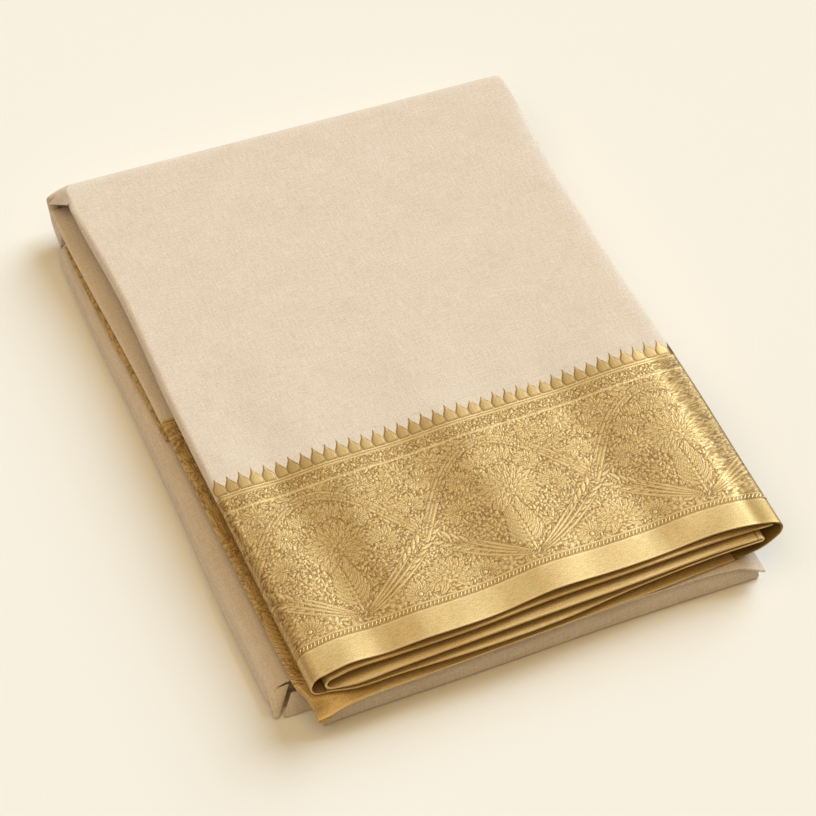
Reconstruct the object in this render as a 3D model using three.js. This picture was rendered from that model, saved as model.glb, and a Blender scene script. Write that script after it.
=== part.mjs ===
// Folded stole: a long cotton and silk cloth with a deep woven gold border,
// folded into a flat oblong packet and laid flat.
// Millimetres. X runs along the bordered front edge, Y to the back fold, Z up.
import * as THREE from 'three';

// ---- named sizes -----------------------------------------------------------
const WIDTH = 178;            // folded width of the top sheet
const BORDER_DEPTH = 94.3;    // woven border at its left end, front selvedge to the tips of its points
const BORDER_RISE = 3.4;      // it is this much deeper at its right end
const PANEL_DEPTH = 135;      // how far back the deeper border of the under panel reaches
const FLAT_END = 251.6;       // where the top sheet starts to go over the back fold
const BACK_SLANT = 5.5;       // the right side is folded this much shorter than the left
const CLOTH = 1.1;            // wall of a single sheet
const FOLD_CLOTH = 1.0;       // wall of the tighter inner folds
const SEAM = 0.3;             // gap left between neighbouring pieces
const TOP_LEVEL = 20.4;       // middle of the top sheet
const TOP_LEFT = -0.9;        // left fold of the top sheet
const FRONT_TURN = 3.6;       // radius of the open left turn at the border
const BACK_TURN = 1.8;        // radius of the pressed left turn behind the border
const UNDER_LEFT = -4.0;      // left fold of the under panel
const UNDER_TURN = 0.75;      // radius of that fold
const FOLD_REACH = 36;        // how far the inner border folds run back
const PACK_END = 241.0;       // back end of the flat lower layers
const PACK_TOP = 7.6;         // height of the lower bundle
const INNER_LEVEL = 8.55;     // middle of the border turned inside and of the front return

// ---- cloths ----------------------------------------------------------------
const ecru = new THREE.MeshStandardMaterial({ color: 0xded0b6, roughness: 0.85, metalness: 0 });
const gold = new THREE.MeshStandardMaterial({ color: 0xc39c56, roughness: 0.45, metalness: 0.6 });

// ---- tables ----------------------------------------------------------------
// Front line (y) of every border layer along x, from the top sheet a down to the
// under panel f.
const FRONT_LINES = [
  { x: -4, a: -4.2, b: -4.4, c: -4.4, d: -4.2, f: -9.6 },
  { x: 4, a: -3.2, b: -4.2, c: -4.8, d: -4.4, f: -9.8 },
  { x: 15, a: -1.5, b: -2.7, c: -6.4, d: -6.6, f: -9.5 },
  { x: 30, a: -1.6, b: -2.6, c: -5.9, d: -6.6, f: -8.8 },
  { x: 60, a: -1.2, b: -2.2, c: -4.9, d: -7.2, f: -7.4 },
  { x: 90, a: 1.2, b: -0.3, c: -3.9, d: -6.2, f: -6.4 },
  { x: 120, a: 1.5, b: 0.3, c: -2.9, d: -3.0, f: -5.0 },
  { x: 150, a: 2.8, b: 1.2, c: -1.6, d: -1.2, f: -2.9 },
  { x: 168, a: 1.2, b: 0.8, c: -2.2, d: -2.0, f: -2.2 },
  { x: 178, a: -0.9, b: 0.6, c: -2.4, d: -2.4, f: -2.2 },
];

// Height of the middle of the inner folds along x.
const LEVELS = [
  { x: 2, b: 18.4, c: 14.9, d: 13.2, f: 11.3 },
  { x: 15, b: 18.5, c: 15.2, d: 13.2, f: 11.3 },
  { x: 30, b: 18.4, c: 15.7, d: 13.3, f: 11.2 },
  { x: 60, b: 18.4, c: 15.9, d: 13.4, f: 11.0 },
  { x: 120, b: 18.4, c: 16.0, d: 13.5, f: 10.6 },
  { x: 150, b: 18.5, c: 16.2, d: 13.8, f: 10.3 },
  { x: 160, b: 18.6, c: 16.6, d: 14.5, f: 10.3 },
  { x: 168, b: 18.6, c: 16.9, d: 15.1, f: 10.6 },
  { x: 176, b: 18.5, c: 17.0, d: 15.2, f: 11.0 },
];

// Right turn of the top sheet: place across and depth below the top level.
const RIGHT_TURN = [
  { x: 166, depth: 0 },
  { x: 171, depth: 0.05 },
  { x: 174.6, depth: 0.5 },
  { x: 176.0, depth: 1.5 },
  { x: 175.6, depth: 2.9 },
  { x: 173.4, depth: 5.1 },
  { x: 170.6, depth: 7.2 },
  { x: 166.8, depth: 9.0 },
  { x: 162, depth: 9.9 },
  { x: 158, depth: 10.1 },
];

// Back fold of the top sheet: distance behind its flat end and height.
const BACK_FOLD = [
  { back: 0, z: 20.4 },
  { back: 2.4, z: 20.1 },
  { back: 4.7, z: 19.1 },
  { back: 6.2, z: 17.3 },
  { back: 6.6, z: 15.0 },
  { back: 5.6, z: 12.2 },
  { back: 3.0, z: 8.8 },
  { back: -0.4, z: 5.2 },
  { back: -3.6, z: 2.6 },
  { back: -7.6, z: 1.0 },
];

// Left side of the lower bundle along y.
const LOWER_LEFT = [
  { y: 0, x: -12.9 },
  { y: 20, x: -13.0 },
  { y: 55, x: -12.7 },
  { y: 105, x: -11.2 },
  { y: 150, x: -10.2 },
  { y: 205, x: -9.9 },
  { y: 232, x: -9.0 },
  { y: 243, x: -8.0 },
];

// Front line of the front turn at the floor and at its top edge, and of the
// thin layer that returns over it.
const FRONT_FACE = [
  { x: 1, floor: -8.0, top: -6.4, rim: -5.6 },
  { x: 20, floor: -7.6, top: -6.0, rim: -5.4 },
  { x: 60, floor: -7.2, top: -5.2, rim: -4.8 },
  { x: 105, floor: -6.0, top: -4.0, rim: -4.2 },
  { x: 135, floor: -5.7, top: -3.8, rim: -4.4 },
  { x: 150, floor: -5.8, top: -3.8, rim: -4.6 },
  { x: 158, floor: -5.8, top: -4.0, rim: -5.6 },
  { x: 168, floor: -5.4, top: -4.0, rim: -6.8 },
];

// Rounded section of the lower bundle: distance in from its side and height,
// from the floor up over the side, with two shallow valleys between the layers.
const SIDE_ROUND = [
  { inset: 1.7, z: 0 },
  { inset: 0.5, z: 0.9 },
  { inset: 0.1, z: 2.1 },
  { inset: 0.45, z: 2.7 },
  { inset: 0.1, z: 3.3 },
  { inset: 0.5, z: 4.4 },
  { inset: 1.3, z: 5.0 },
  { inset: 1.5, z: 5.6 },
  { inset: 3.2, z: 6.9 },
  { inset: 6.4, z: PACK_TOP },
];

// ---- small helpers ---------------------------------------------------------
const clamp01 = (t) => Math.min(1, Math.max(0, t));
const ease = (t) => {
  const c = clamp01(t);
  return c * c * (3 - 2 * c);
};
const mix = (a, b, t) => a + (b - a) * t;

// Smooth reading of a table column at a place along its first column.
function read(table, key, place, column) {
  const last = table.length - 1;
  const at = Math.min(table[last][key], Math.max(table[0][key], place));
  let i = 0;
  while (i < last - 1 && table[i + 1][key] < at) i += 1;
  const slope = (k) => {
    const lo = table[Math.max(0, k - 1)];
    const hi = table[Math.min(last, k + 1)];
    return (hi[column] - lo[column]) / (hi[key] - lo[key]);
  };
  const span = table[i + 1][key] - table[i][key];
  const t = (at - table[i][key]) / span;
  const t2 = t * t;
  const t3 = t2 * t;
  return (2 * t3 - 3 * t2 + 1) * table[i][column]
    + (t3 - 2 * t2 + t) * span * slope(i)
    + (3 * t2 - 2 * t3) * table[i + 1][column]
    + (t3 - t2) * span * slope(i + 1);
}

// Points spread along a table that bends back on itself, by row number.
function along(table, t, column) {
  const rows = table.map((row, i) => ({ i, value: row[column] }));
  return read(rows, 'i', t * (table.length - 1), 'value');
}

// Every point passes through here: the right side is folded shorter and its
// edge wanders a little on its way to the back.
function place(x, y, z) {
  const slant = BACK_SLANT * clamp01(x / WIDTH) * clamp01((y - 60) / 190);
  const flare = 0.8 * Math.exp(-(((y - 75) / 40) ** 2)) + 2.6 * ease((y - 190) / 60);
  return new THREE.Vector3(x + flare * ease((x - 150) / 26), y - slant, z);
}

// Turns lists of corner points and triangles into a closed mesh facing outwards.
function closed(name, points, faces, material) {
  let volume = 0;
  for (const [a, b, c] of faces) {
    volume += points[a].dot(new THREE.Vector3().crossVectors(points[b], points[c]));
  }
  const index = faces.flatMap(([a, b, c]) => (volume > 0 ? [a, b, c] : [a, c, b]));
  const geometry = new THREE.BufferGeometry();
  geometry.setAttribute('position', new THREE.Float32BufferAttribute(
    points.flatMap((p) => [p.x, p.y, p.z]), 3));
  geometry.setIndex(index);
  geometry.computeVertexNormals();
  const mesh = new THREE.Mesh(geometry, material);
  mesh.name = name;
  return mesh;
}

// A sheet with a wall: rows of middle points thickened to both sides.
function sheet(name, rows, thickness, material) {
  const down = rows.length;
  const across = rows[0].length;
  const points = [];
  for (const side of [0.5, -0.5]) {
    for (let j = 0; j < down; j += 1) {
      for (let i = 0; i < across; i += 1) {
        const alongX = new THREE.Vector3().subVectors(
          rows[j][Math.min(across - 1, i + 1)], rows[j][Math.max(0, i - 1)]);
        const alongY = new THREE.Vector3().subVectors(
          rows[Math.min(down - 1, j + 1)][i], rows[Math.max(0, j - 1)][i]);
        const out = alongX.cross(alongY).normalize();
        points.push(rows[j][i].clone().addScaledVector(out, side * thickness));
      }
    }
  }
  const count = down * across;
  const at = (j, i, lower) => j * across + i + (lower ? count : 0);
  const faces = [];
  const quad = (a, b, c, d) => faces.push([a, b, c], [a, c, d]);
  for (let j = 0; j < down - 1; j += 1) {
    for (let i = 0; i < across - 1; i += 1) {
      quad(at(j, i), at(j, i + 1), at(j + 1, i + 1), at(j + 1, i));
      quad(at(j, i, 1), at(j + 1, i, 1), at(j + 1, i + 1, 1), at(j, i + 1, 1));
    }
  }
  for (let i = 0; i < across - 1; i += 1) {
    quad(at(0, i), at(0, i, 1), at(0, i + 1, 1), at(0, i + 1));
    quad(at(down - 1, i), at(down - 1, i + 1), at(down - 1, i + 1, 1), at(down - 1, i, 1));
  }
  for (let j = 0; j < down - 1; j += 1) {
    quad(at(j, 0), at(j + 1, 0), at(j + 1, 0, 1), at(j, 0, 1));
    quad(at(j, across - 1), at(j, across - 1, 1), at(j + 1, across - 1, 1), at(j + 1, across - 1));
  }
  return closed(name, points, faces, material);
}

// A solid from closed rings of points, its two ends filled flat.
function swept(name, rings, outline, material) {
  const around = outline.length;
  const points = rings.flat();
  const faces = [];
  for (let j = 0; j < rings.length - 1; j += 1) {
    for (let i = 0; i < around; i += 1) {
      const next = (i + 1) % around;
      const a = j * around + i;
      const b = j * around + next;
      const c = (j + 1) * around + next;
      const d = (j + 1) * around + i;
      faces.push([a, b, c], [a, c, d]);
    }
  }
  const lid = THREE.ShapeUtils.triangulateShape(outline, []);
  const far = (rings.length - 1) * around;
  for (const [a, b, c] of lid) {
    const turn = THREE.ShapeUtils.isClockWise(outline) ? [a, b, c] : [a, c, b];
    faces.push(turn);
    faces.push([far + turn[0], far + turn[2], far + turn[1]]);
  }
  return closed(name, points, faces, material);
}

const group = new THREE.Group();
group.name = 'stole';

// ---- top sheet -------------------------------------------------------------
// One cloth: plain behind, border in front, its left edge turned under and its
// right edge turned round to become the under panel.
function topSection(y, overBack) {
  const radius = mix(FRONT_TURN, BACK_TURN, ease((y - 34) / 50));
  const hollow = 1.6 * Math.exp(-(((y - 190) / 42) ** 2));
  const corner = 2.0 * ease(overBack / 0.22) - 7.6 * ease((overBack - 0.28) / 0.22);
  const left = TOP_LEFT + hollow + corner;
  const opening = ease((y - 224) / 16);
  const tuck = mix(1, 0.35, opening);
  const section = [{ x: left + radius + 1.2, depth: 2 * radius * tuck }];
  for (let k = 0; k <= 10; k += 1) {
    const angle = (-90 + 18 * k) * Math.PI / 180;
    section.push({
      x: left + radius * (1 - Math.cos(angle)),
      depth: radius * (1 - Math.sin(angle)) * tuck,
    });
  }
  const flatFrom = left + radius;
  for (let k = 1; k <= 22; k += 1) {
    section.push({ x: mix(flatFrom, 166, k / 22), depth: 0 });
  }
  const rightTuck = mix(1, 0.3, opening);
  for (let k = 1; k <= 16; k += 1) {
    section.push({
      x: along(RIGHT_TURN, k / 16, 'x'),
      depth: along(RIGHT_TURN, k / 16, 'depth') * rightTuck,
    });
  }
  return section;
}

// Soft swell of the top sheet, strongest at the border and nothing at the back.
function swell(x, y) {
  const inward = ease((x - 6) / 16) * ease((164 - x) / 16);
  const waves = 0.34 * Math.sin((x - 14) / 9.4) + 0.2 * Math.sin((x + y * 0.4) / 15);
  return inward * waves * ease((125 - y) / 90);
}

function topPoint(spot, y) {
  return place(spot.x, y, TOP_LEVEL + swell(spot.x, y) - spot.depth);
}

const borderEnd = (x) => BORDER_DEPTH + BORDER_RISE * clamp01(x / WIDTH);

const borderRows = [];
for (let j = 0; j <= 14; j += 1) {
  borderRows.push(topSection(mix(0, BORDER_DEPTH, j / 14), 0).map((spot) => {
    const below = read(FRONT_LINES, 'x', spot.x, spot.x < 90 ? 'd' : 'f');
    const front = mix(read(FRONT_LINES, 'x', spot.x, 'a'), below, ease(spot.depth / 4));
    return topPoint(spot, mix(front, borderEnd(spot.x), j / 14));
  }));
}
group.add(sheet('top_border', borderRows, CLOTH, gold));

const fieldRows = [];
for (let j = 0; j <= 12; j += 1) {
  const y = mix(BORDER_DEPTH + SEAM, FLAT_END, j / 12);
  fieldRows.push(topSection(y, 0).map((spot) => topPoint(
    spot, mix(borderEnd(spot.x) + SEAM, FLAT_END, j / 12))));
}
for (let j = 1; j <= 16; j += 1) {
  const t = j / 16;
  const back = along(BACK_FOLD, t, 'back');
  const z = along(BACK_FOLD, t, 'z');
  const stepBack = along(BACK_FOLD, clamp01(t + 0.02), 'back') - along(BACK_FOLD, t - 0.02, 'back');
  const stepZ = along(BACK_FOLD, clamp01(t + 0.02), 'z') - along(BACK_FOLD, t - 0.02, 'z');
  const length = Math.hypot(stepBack, stepZ);
  fieldRows.push(topSection(FLAT_END, t).map((spot) => place(
    spot.x,
    FLAT_END + back + spot.depth * stepZ / length,
    z - spot.depth * stepBack / length,
  )));
}
group.add(sheet('top_field', fieldRows, CLOTH, ecru));

// ---- inner border folds ----------------------------------------------------
// Under the top sheet the border is pleated back and forth; two of its turns
// stand out at the front, each a little further forward than the one above.
function foldRows(section, columnOf) {
  const rows = [];
  for (let j = 0; j <= 8; j += 1) {
    rows.push(section.map((spot) => {
      const front = mix(
        read(FRONT_LINES, 'x', spot.x, columnOf[0]),
        read(FRONT_LINES, 'x', spot.x, columnOf[1]),
        spot.share,
      );
      return place(spot.x, mix(front, FOLD_REACH, j / 8), spot.z);
    }));
  }
  return rows;
}

const upperTurnX = 5.9;
const upperFold = [];
for (let k = 0; k <= 18; k += 1) {
  const x = mix(173.6, upperTurnX, k / 18);
  upperFold.push({ x, z: read(LEVELS, 'x', x, 'b'), share: 0 });
}
const upperTop = read(LEVELS, 'x', upperTurnX, 'b');
const upperLow = read(LEVELS, 'x', upperTurnX, 'c');
const upperRadius = (upperTop - upperLow) / 2;
for (let k = 1; k < 10; k += 1) {
  const angle = (90 + 18 * k) * Math.PI / 180;
  upperFold.push({
    x: upperTurnX + upperRadius * Math.cos(angle),
    z: (upperTop + upperLow) / 2 + upperRadius * Math.sin(angle),
    share: k / 10,
  });
}
for (let k = 0; k <= 18; k += 1) {
  const x = mix(upperTurnX, 166.4, k / 18);
  upperFold.push({ x, z: read(LEVELS, 'x', x, 'c'), share: 1 });
}
group.add(sheet('border_fold_upper', foldRows(upperFold, ['b', 'c']), FOLD_CLOTH, gold));

const lowerTurnX = 167.9;
const lowerTop = read(LEVELS, 'x', lowerTurnX, 'c');
const lowerLow = read(LEVELS, 'x', lowerTurnX, 'd');
const lowerRadius = (lowerTop - lowerLow) / 2;
const lowerFold = [{ x: 166.7, z: read(LEVELS, 'x', 166.7, 'c'), share: 0 }];
for (let k = 0; k <= 10; k += 1) {
  const angle = (90 - 18 * k) * Math.PI / 180;
  lowerFold.push({
    x: lowerTurnX + lowerRadius * Math.cos(angle),
    z: (lowerTop + lowerLow) / 2 + lowerRadius * Math.sin(angle),
    share: k / 10,
  });
}
const lowerEndX = TOP_LEFT + FRONT_TURN + 1.2 + SEAM;
for (let k = 1; k <= 18; k += 1) {
  const x = mix(lowerTurnX, lowerEndX, k / 18);
  lowerFold.push({ x, z: read(LEVELS, 'x', x, 'd'), share: 1 });
}
group.add(sheet('border_fold_lower', foldRows(lowerFold, ['c', 'd']), FOLD_CLOTH, gold));

// ---- under panel -----------------------------------------------------------
// The sheet below the border folds. It comes from the right turn of the top
// sheet, stands out past its left edge and is turned under there. Its front
// left corner hangs down in a point.
const underEndX = 158 - SEAM;
const underSection = [];
for (let k = 0; k <= 18; k += 1) {
  const x = mix(underEndX, UNDER_LEFT + UNDER_TURN, k / 18);
  underSection.push({ x, z: read(LEVELS, 'x', x, 'f') });
}
const underTop = read(LEVELS, 'x', UNDER_LEFT, 'f');
for (let k = 1; k <= 6; k += 1) {
  const angle = (90 + 30 * k) * Math.PI / 180;
  underSection.push({
    x: UNDER_LEFT + UNDER_TURN * (1 + Math.cos(angle)),
    z: underTop - UNDER_TURN * (1 - Math.sin(angle)),
  });
}
underSection.push({ x: -1, z: underTop - 2 * UNDER_TURN });
underSection.push({ x: 2.4, z: underTop - 2 * UNDER_TURN });

function underPoint(spot, y) {
  const forward = ease((-2.6 - y) / 8);
  const dip = mix(0.2, 0.9, ease((110 - spot.x) / 60));
  const hang = 4.8 * ease((13 - spot.x) / 15) * forward + dip * ease(-y / 8);
  const drift = 3.2 * ease((8 - spot.x) / 12) * ease((5 - y) / 13);
  return place(spot.x + drift, y, spot.z - hang);
}

const underBorderRows = [];
for (let j = 0; j <= 16; j += 1) {
  const step = (j / 16) ** 1.7;
  underBorderRows.push(underSection.map((spot) => {
    const front = read(FRONT_LINES, 'x', spot.x, 'f');
    return underPoint(spot, mix(front, PANEL_DEPTH, step));
  }));
}
group.add(sheet('under_border', underBorderRows, FOLD_CLOTH, gold));

const underFieldRows = [];
for (let j = 0; j <= 6; j += 1) {
  const y = mix(PANEL_DEPTH + SEAM, PACK_END, j / 6);
  underFieldRows.push(underSection.map((spot) => underPoint(spot, y)));
}
group.add(sheet('under_field', underFieldRows, FOLD_CLOTH, ecru));

// ---- border turned inside --------------------------------------------------
// A strip of the second border, folded in between the under panel and the
// lower bundle; only its turned left edge stands out, behind the front half.
const innerRows = [];
for (let j = 0; j <= 8; j += 1) {
  const y = mix(128, 236, j / 8);
  const out = 1.1 * Math.sin(Math.PI * j / 8);
  innerRows.push([-4.4, -2, 3, 9].map((x, i) => place(i === 0 ? x - out : x, y, INNER_LEVEL)));
}
group.add(sheet('inner_border', innerRows, FOLD_CLOTH, gold));

// ---- layers inside ---------------------------------------------------------
// The hidden layers under the top sheet share one rounded solid.
const coreOutline = [
  { x: 7.0, z: 12.25 },
  { x: 152, z: 12.25 },
  { x: 158, z: 13.1 },
  { x: 162, z: 14.4 },
  { x: 163.4, z: 16.2 },
  { x: 162.6, z: 18.0 },
  { x: 159, z: 18.9 },
  { x: 10, z: 18.9 },
  { x: 6.6, z: 17.8 },
  { x: 6.2, z: 16.6 },
  { x: 6.7, z: 16.0 },
  { x: 5.9, z: 15.2 },
  { x: 6.0, z: 13.6 },
];
const coreRings = [FOLD_REACH + SEAM, 90, 150, 200, 212, 224, PACK_END].map((y) => {
  const drawnIn = 8.4 * ease((y - 200) / 24);
  return coreOutline.map((p) => place(p.x > 140 ? p.x - drawnIn : p.x, y, p.z));
});
const coreShape = coreOutline.map((p) => new THREE.Vector2(p.x, p.z));
group.add(swept('folded_core', coreRings, coreShape, ecru));

// The same layers where they turn down inside the back fold, with a shallow
// valley between the layers.
function turnOutline(inward) {
  const outline = [];
  for (let k = 1; k <= 13; k += 1) {
    const t = 0.02 + 0.84 * k / 13;
    const stepBack = along(BACK_FOLD, t + 0.02, 'back') - along(BACK_FOLD, t - 0.02, 'back');
    const stepZ = along(BACK_FOLD, t + 0.02, 'z') - along(BACK_FOLD, t - 0.02, 'z');
    const length = Math.hypot(stepBack, stepZ);
    const depth = inward + (k % 4 === 2 ? 0.45 : 0);
    outline.push({
      y: Math.max(PACK_END + 1.2, FLAT_END + along(BACK_FOLD, t, 'back') + depth * stepZ / length),
      z: along(BACK_FOLD, t, 'z') - depth * stepBack / length,
    });
  }
  const bottom = outline[outline.length - 1].z;
  outline.push({ y: PACK_END + SEAM, z: bottom });
  outline.push({ y: PACK_END + SEAM, z: TOP_LEVEL - inward });
  return outline;
}
// Its left end slopes down from the corner of the top sheet to the under panel.
const turnRings = [
  { x: -6.0, inward: 2.5, shrink: 0.75, low: 0.66 },
  { x: -5.2, inward: 2.5, shrink: 1, low: 0.7 },
  { x: 4.0, inward: 2.5, shrink: 1, low: 1 },
  { x: 6.0, inward: 1.45, shrink: 1, low: 1 },
  { x: 60, inward: 1.45, shrink: 1, low: 1 },
  { x: 120, inward: 1.45, shrink: 1, low: 1 },
  { x: 154, inward: 1.45, shrink: 1, low: 1 },
  { x: 156, inward: 4.0, shrink: 1, low: 1 },
  { x: 171.0, inward: 3.8, shrink: 1, low: 1 },
  { x: 172.2, inward: 3.8, shrink: 0.75, low: 1 },
].map(({ x, inward, shrink, low }) => turnOutline(inward).map((p) => place(
  x,
  mix(PACK_END + SEAM, mix(PACK_END + 5, p.y, shrink), mix(1, low, 0.6)),
  mix(2.6, mix(10.5, p.z, shrink), low),
)));
const turnShape = turnOutline(1.45).map((p) => new THREE.Vector2(p.y, p.z));
group.add(swept('back_turn', turnRings, turnShape, ecru));

// ---- lower bundle ----------------------------------------------------------
// The plain cloth folded below, wider than the border stack, bulging out on
// the left. Its front end leans back behind the corner flap.
const LOWER_RIGHT = 168;
function lowerRing(y, inset, lean) {
  const left = read(LOWER_LEFT, 'y', y, 'x') + inset;
  const right = LOWER_RIGHT - inset;
  const ring = [];
  for (const p of [...SIDE_ROUND].reverse()) {
    ring.push({ x: left + p.inset, z: p.z });
  }
  for (const p of SIDE_ROUND) {
    ring.push({ x: right - p.inset * 0.7, z: p.z });
  }
  return ring.map((p) => ({ ...p, y: y + lean * p.z }));
}
const lowerRings = [
  lowerRing(4.8, 0.8, 0.75),
  lowerRing(6.4, 0, 0.7),
  lowerRing(20, 0, 0.3),
  lowerRing(40, 0, 0),
  lowerRing(70, 0, 0),
  lowerRing(105, 0, 0),
  lowerRing(140, 0, 0),
  lowerRing(175, 0, 0),
  lowerRing(210, 0, 0),
  lowerRing(232, 0, 0),
  lowerRing(238.6, 0.5, 0),
  lowerRing(PACK_END - 0.8, 1.7, 0),
];
const lowerShape = lowerRings[0].map((p) => new THREE.Vector2(p.x, p.z));
group.add(swept('lower_bundle', lowerRings.map((ring) => ring.map((p) => place(p.x, p.y, p.z))),
  lowerShape, ecru));

// ---- front turn ------------------------------------------------------------
// The outer cloth comes from underneath, rises as the plain front face and
// returns below the gold.
const frontRings = [];
for (let k = 0; k <= 22; k += 1) {
  const x = mix(1.4, 166.4, k / 22);
  const floor = read(FRONT_FACE, 'x', x, 'floor');
  const top = read(FRONT_FACE, 'x', x, 'top');
  const low = 1 - 0.34 * ease((x - 155) / 10) - 0.5 * ease((6.4 - x) / 4);
  frontRings.push([
    { y: 3.2, z: 0 },
    { y: 3.2 + 4.8 * low, z: 6.6 },
    { y: 1.8 + 4.8 * low, z: 7.7 },
    { y: top + 1.2, z: 7.8 },
    { y: top + 0.1, z: 7.2 },
    { y: mix(top, floor, 0.3) - 0.5, z: 5.6 },
    { y: mix(top, floor, 0.6) - 0.6, z: 3.6 },
    { y: floor - 0.2, z: 1.4 },
    { y: floor + 0.1, z: 0.5 },
    { y: floor + 0.9, z: 0 },
  ].map((p) => place(x, p.y, p.z * low)));
}
const frontShape = frontRings[0].map((p) => new THREE.Vector2(p.y, p.z));
group.add(swept('front_turn', frontRings, frontShape, ecru));

const returnRows = [];
for (let j = 0; j <= 7; j += 1) {
  const row = [];
  for (let k = 0; k <= 26; k += 1) {
    const x = mix(10, 167.0, k / 26);
    const rim = read(FRONT_FACE, 'x', x, 'rim');
    const hang = 2.2 * ease((x - 158) / 10) * ease((1 - j / 2));
    row.push(place(x, mix(rim - 0.9 * hang, PACK_END - 2, (j / 7) ** 2), INNER_LEVEL + 0.1 - hang));
  }
  returnRows.push(row);
}
group.add(sheet('front_return', returnRows, FOLD_CLOTH, ecru));

// ---- front left corner -----------------------------------------------------
// The side of the lower bundle is closed like a parcel: a pointed flap folded
// down over the end, and the end panel behind it.
function panel(name, corners, thickness) {
  const steps = 4;
  const rows = [];
  for (let j = 0; j <= steps; j += 1) {
    const row = [];
    for (let i = 0; i <= steps; i += 1) {
      const lower = new THREE.Vector3().lerpVectors(corners[0], corners[1], i / steps);
      const upper = new THREE.Vector3().lerpVectors(corners[3], corners[2], i / steps);
      row.push(lower.lerp(upper, j / steps));
    }
    rows.push(row);
  }
  return sheet(name, rows, thickness, ecru);
}
group.add(panel('corner_flap', [
  new THREE.Vector3(-12.6, 1.4, 0.9),
  new THREE.Vector3(-11.2, 1.6, 0.9),
  new THREE.Vector3(-4.4, 7.6, 7.3),
  new THREE.Vector3(-11.4, 8.0, 6.3),
], FOLD_CLOTH));
group.add(panel('corner_panel', [
  new THREE.Vector3(-8.4, 0.6, 0.5),
  new THREE.Vector3(0.8, 0.6, 0.5),
  new THREE.Vector3(0.8, 3.8, 6.0),
  new THREE.Vector3(-3.2, 3.6, 5.6),
], FOLD_CLOTH));

// ---- stand the packet on its underside, centred ------------------------------
const box = new THREE.Box3().setFromObject(group);
const middle = box.getCenter(new THREE.Vector3());
for (const mesh of group.children) {
  mesh.geometry.translate(-middle.x, -middle.y, -box.min.z);
}

export default group;
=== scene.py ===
"""A folded stole: fine ecru cloth with a deep woven gold border, laid flat."""

import math
import random

import bpy
import numpy as np
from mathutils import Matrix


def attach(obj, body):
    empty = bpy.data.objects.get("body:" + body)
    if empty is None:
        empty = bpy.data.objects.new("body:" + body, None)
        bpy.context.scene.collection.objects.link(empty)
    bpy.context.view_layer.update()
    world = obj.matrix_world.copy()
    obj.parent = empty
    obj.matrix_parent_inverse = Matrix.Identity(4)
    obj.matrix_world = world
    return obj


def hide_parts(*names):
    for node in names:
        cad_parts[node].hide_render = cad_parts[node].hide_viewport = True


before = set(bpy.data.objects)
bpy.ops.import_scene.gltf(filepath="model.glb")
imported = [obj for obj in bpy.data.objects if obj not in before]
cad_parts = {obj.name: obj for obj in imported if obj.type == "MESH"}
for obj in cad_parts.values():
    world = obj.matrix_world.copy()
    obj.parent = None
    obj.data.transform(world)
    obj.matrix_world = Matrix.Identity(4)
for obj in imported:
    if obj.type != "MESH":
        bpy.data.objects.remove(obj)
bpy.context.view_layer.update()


# ---- Table, daylight and viewpoint ------------------------------------------
# The packet lies on a plain cream surface. One broad soft light stands low
# behind it on the right. A warm one hangs overhead and a weak one fills from the
# left.
MM = 0.001
PACKET_MIDDLE = (83.131, 124.396)
FLOOR_HALF = 3.0
FLOOR_CREAM = (0.86, 0.81, 0.70)
ROOM_CREAM = (1.0, 0.9, 0.75)
ROOM_STRENGTH = 0.02
LIGHTS = [
    ("window light", 4.151, 40, (0.80, 0.50, 0.62), (0.661, 0.806, 1.0)),
    ("ceiling light", 1.598, 90, (-0.1, -0.1, 1.0), (1.0, 0.767, 0.395)),
    ("left fill", 0.666, 110, (-0.95, 0.10, 0.55), (0.80, 0.817, 1.0)),
]
VIEW_AZIMUTH = -22.65
VIEW_ELEVATION = 47.0
VIEW_DISTANCE = 1315.69
VIEW_TARGET = (84.44, 116.69)
FOCAL_PIXELS = 3600
FRAME_PIXELS = 816
SENSOR = 36.0


def floor_cloth():
    half = FLOOR_HALF
    mesh = bpy.data.meshes.new("floor")
    corners = [(-half, -half, 0), (half, -half, 0), (half, half, 0), (-half, half, 0)]
    mesh.from_pydata(corners, [], [(0, 1, 2, 3)])
    made = bpy.data.objects.new("floor", mesh)
    bpy.context.collection.objects.link(made)
    paint = bpy.data.materials.new("cream table")
    paint.use_nodes = True
    surface = paint.node_tree.nodes["Principled BSDF"]
    surface.inputs["Base Color"].default_value = (*FLOOR_CREAM, 1)
    surface.inputs["Roughness"].default_value = 0.9
    surface.inputs["Specular IOR Level"].default_value = 0.1
    mesh.materials.append(paint)


floor_cloth()

room = bpy.data.worlds.new("pale room")
bpy.context.scene.world = room
room.use_nodes = True
room.node_tree.nodes["Background"].inputs["Color"].default_value = (*ROOM_CREAM, 1)
room.node_tree.nodes["Background"].inputs["Strength"].default_value = ROOM_STRENGTH

for name, strength, breadth, place, colour in LIGHTS:
    light = bpy.data.lights.new(name, "SUN")
    light.energy = strength
    light.angle = math.radians(breadth)
    light.color = colour
    lamp = bpy.data.objects.new(name, light)
    bpy.context.collection.objects.link(lamp)
    way = np.array(place) / np.linalg.norm(place)
    lamp.rotation_euler = (math.acos(way[2]), 0, math.atan2(way[0], -way[1]))

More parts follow.
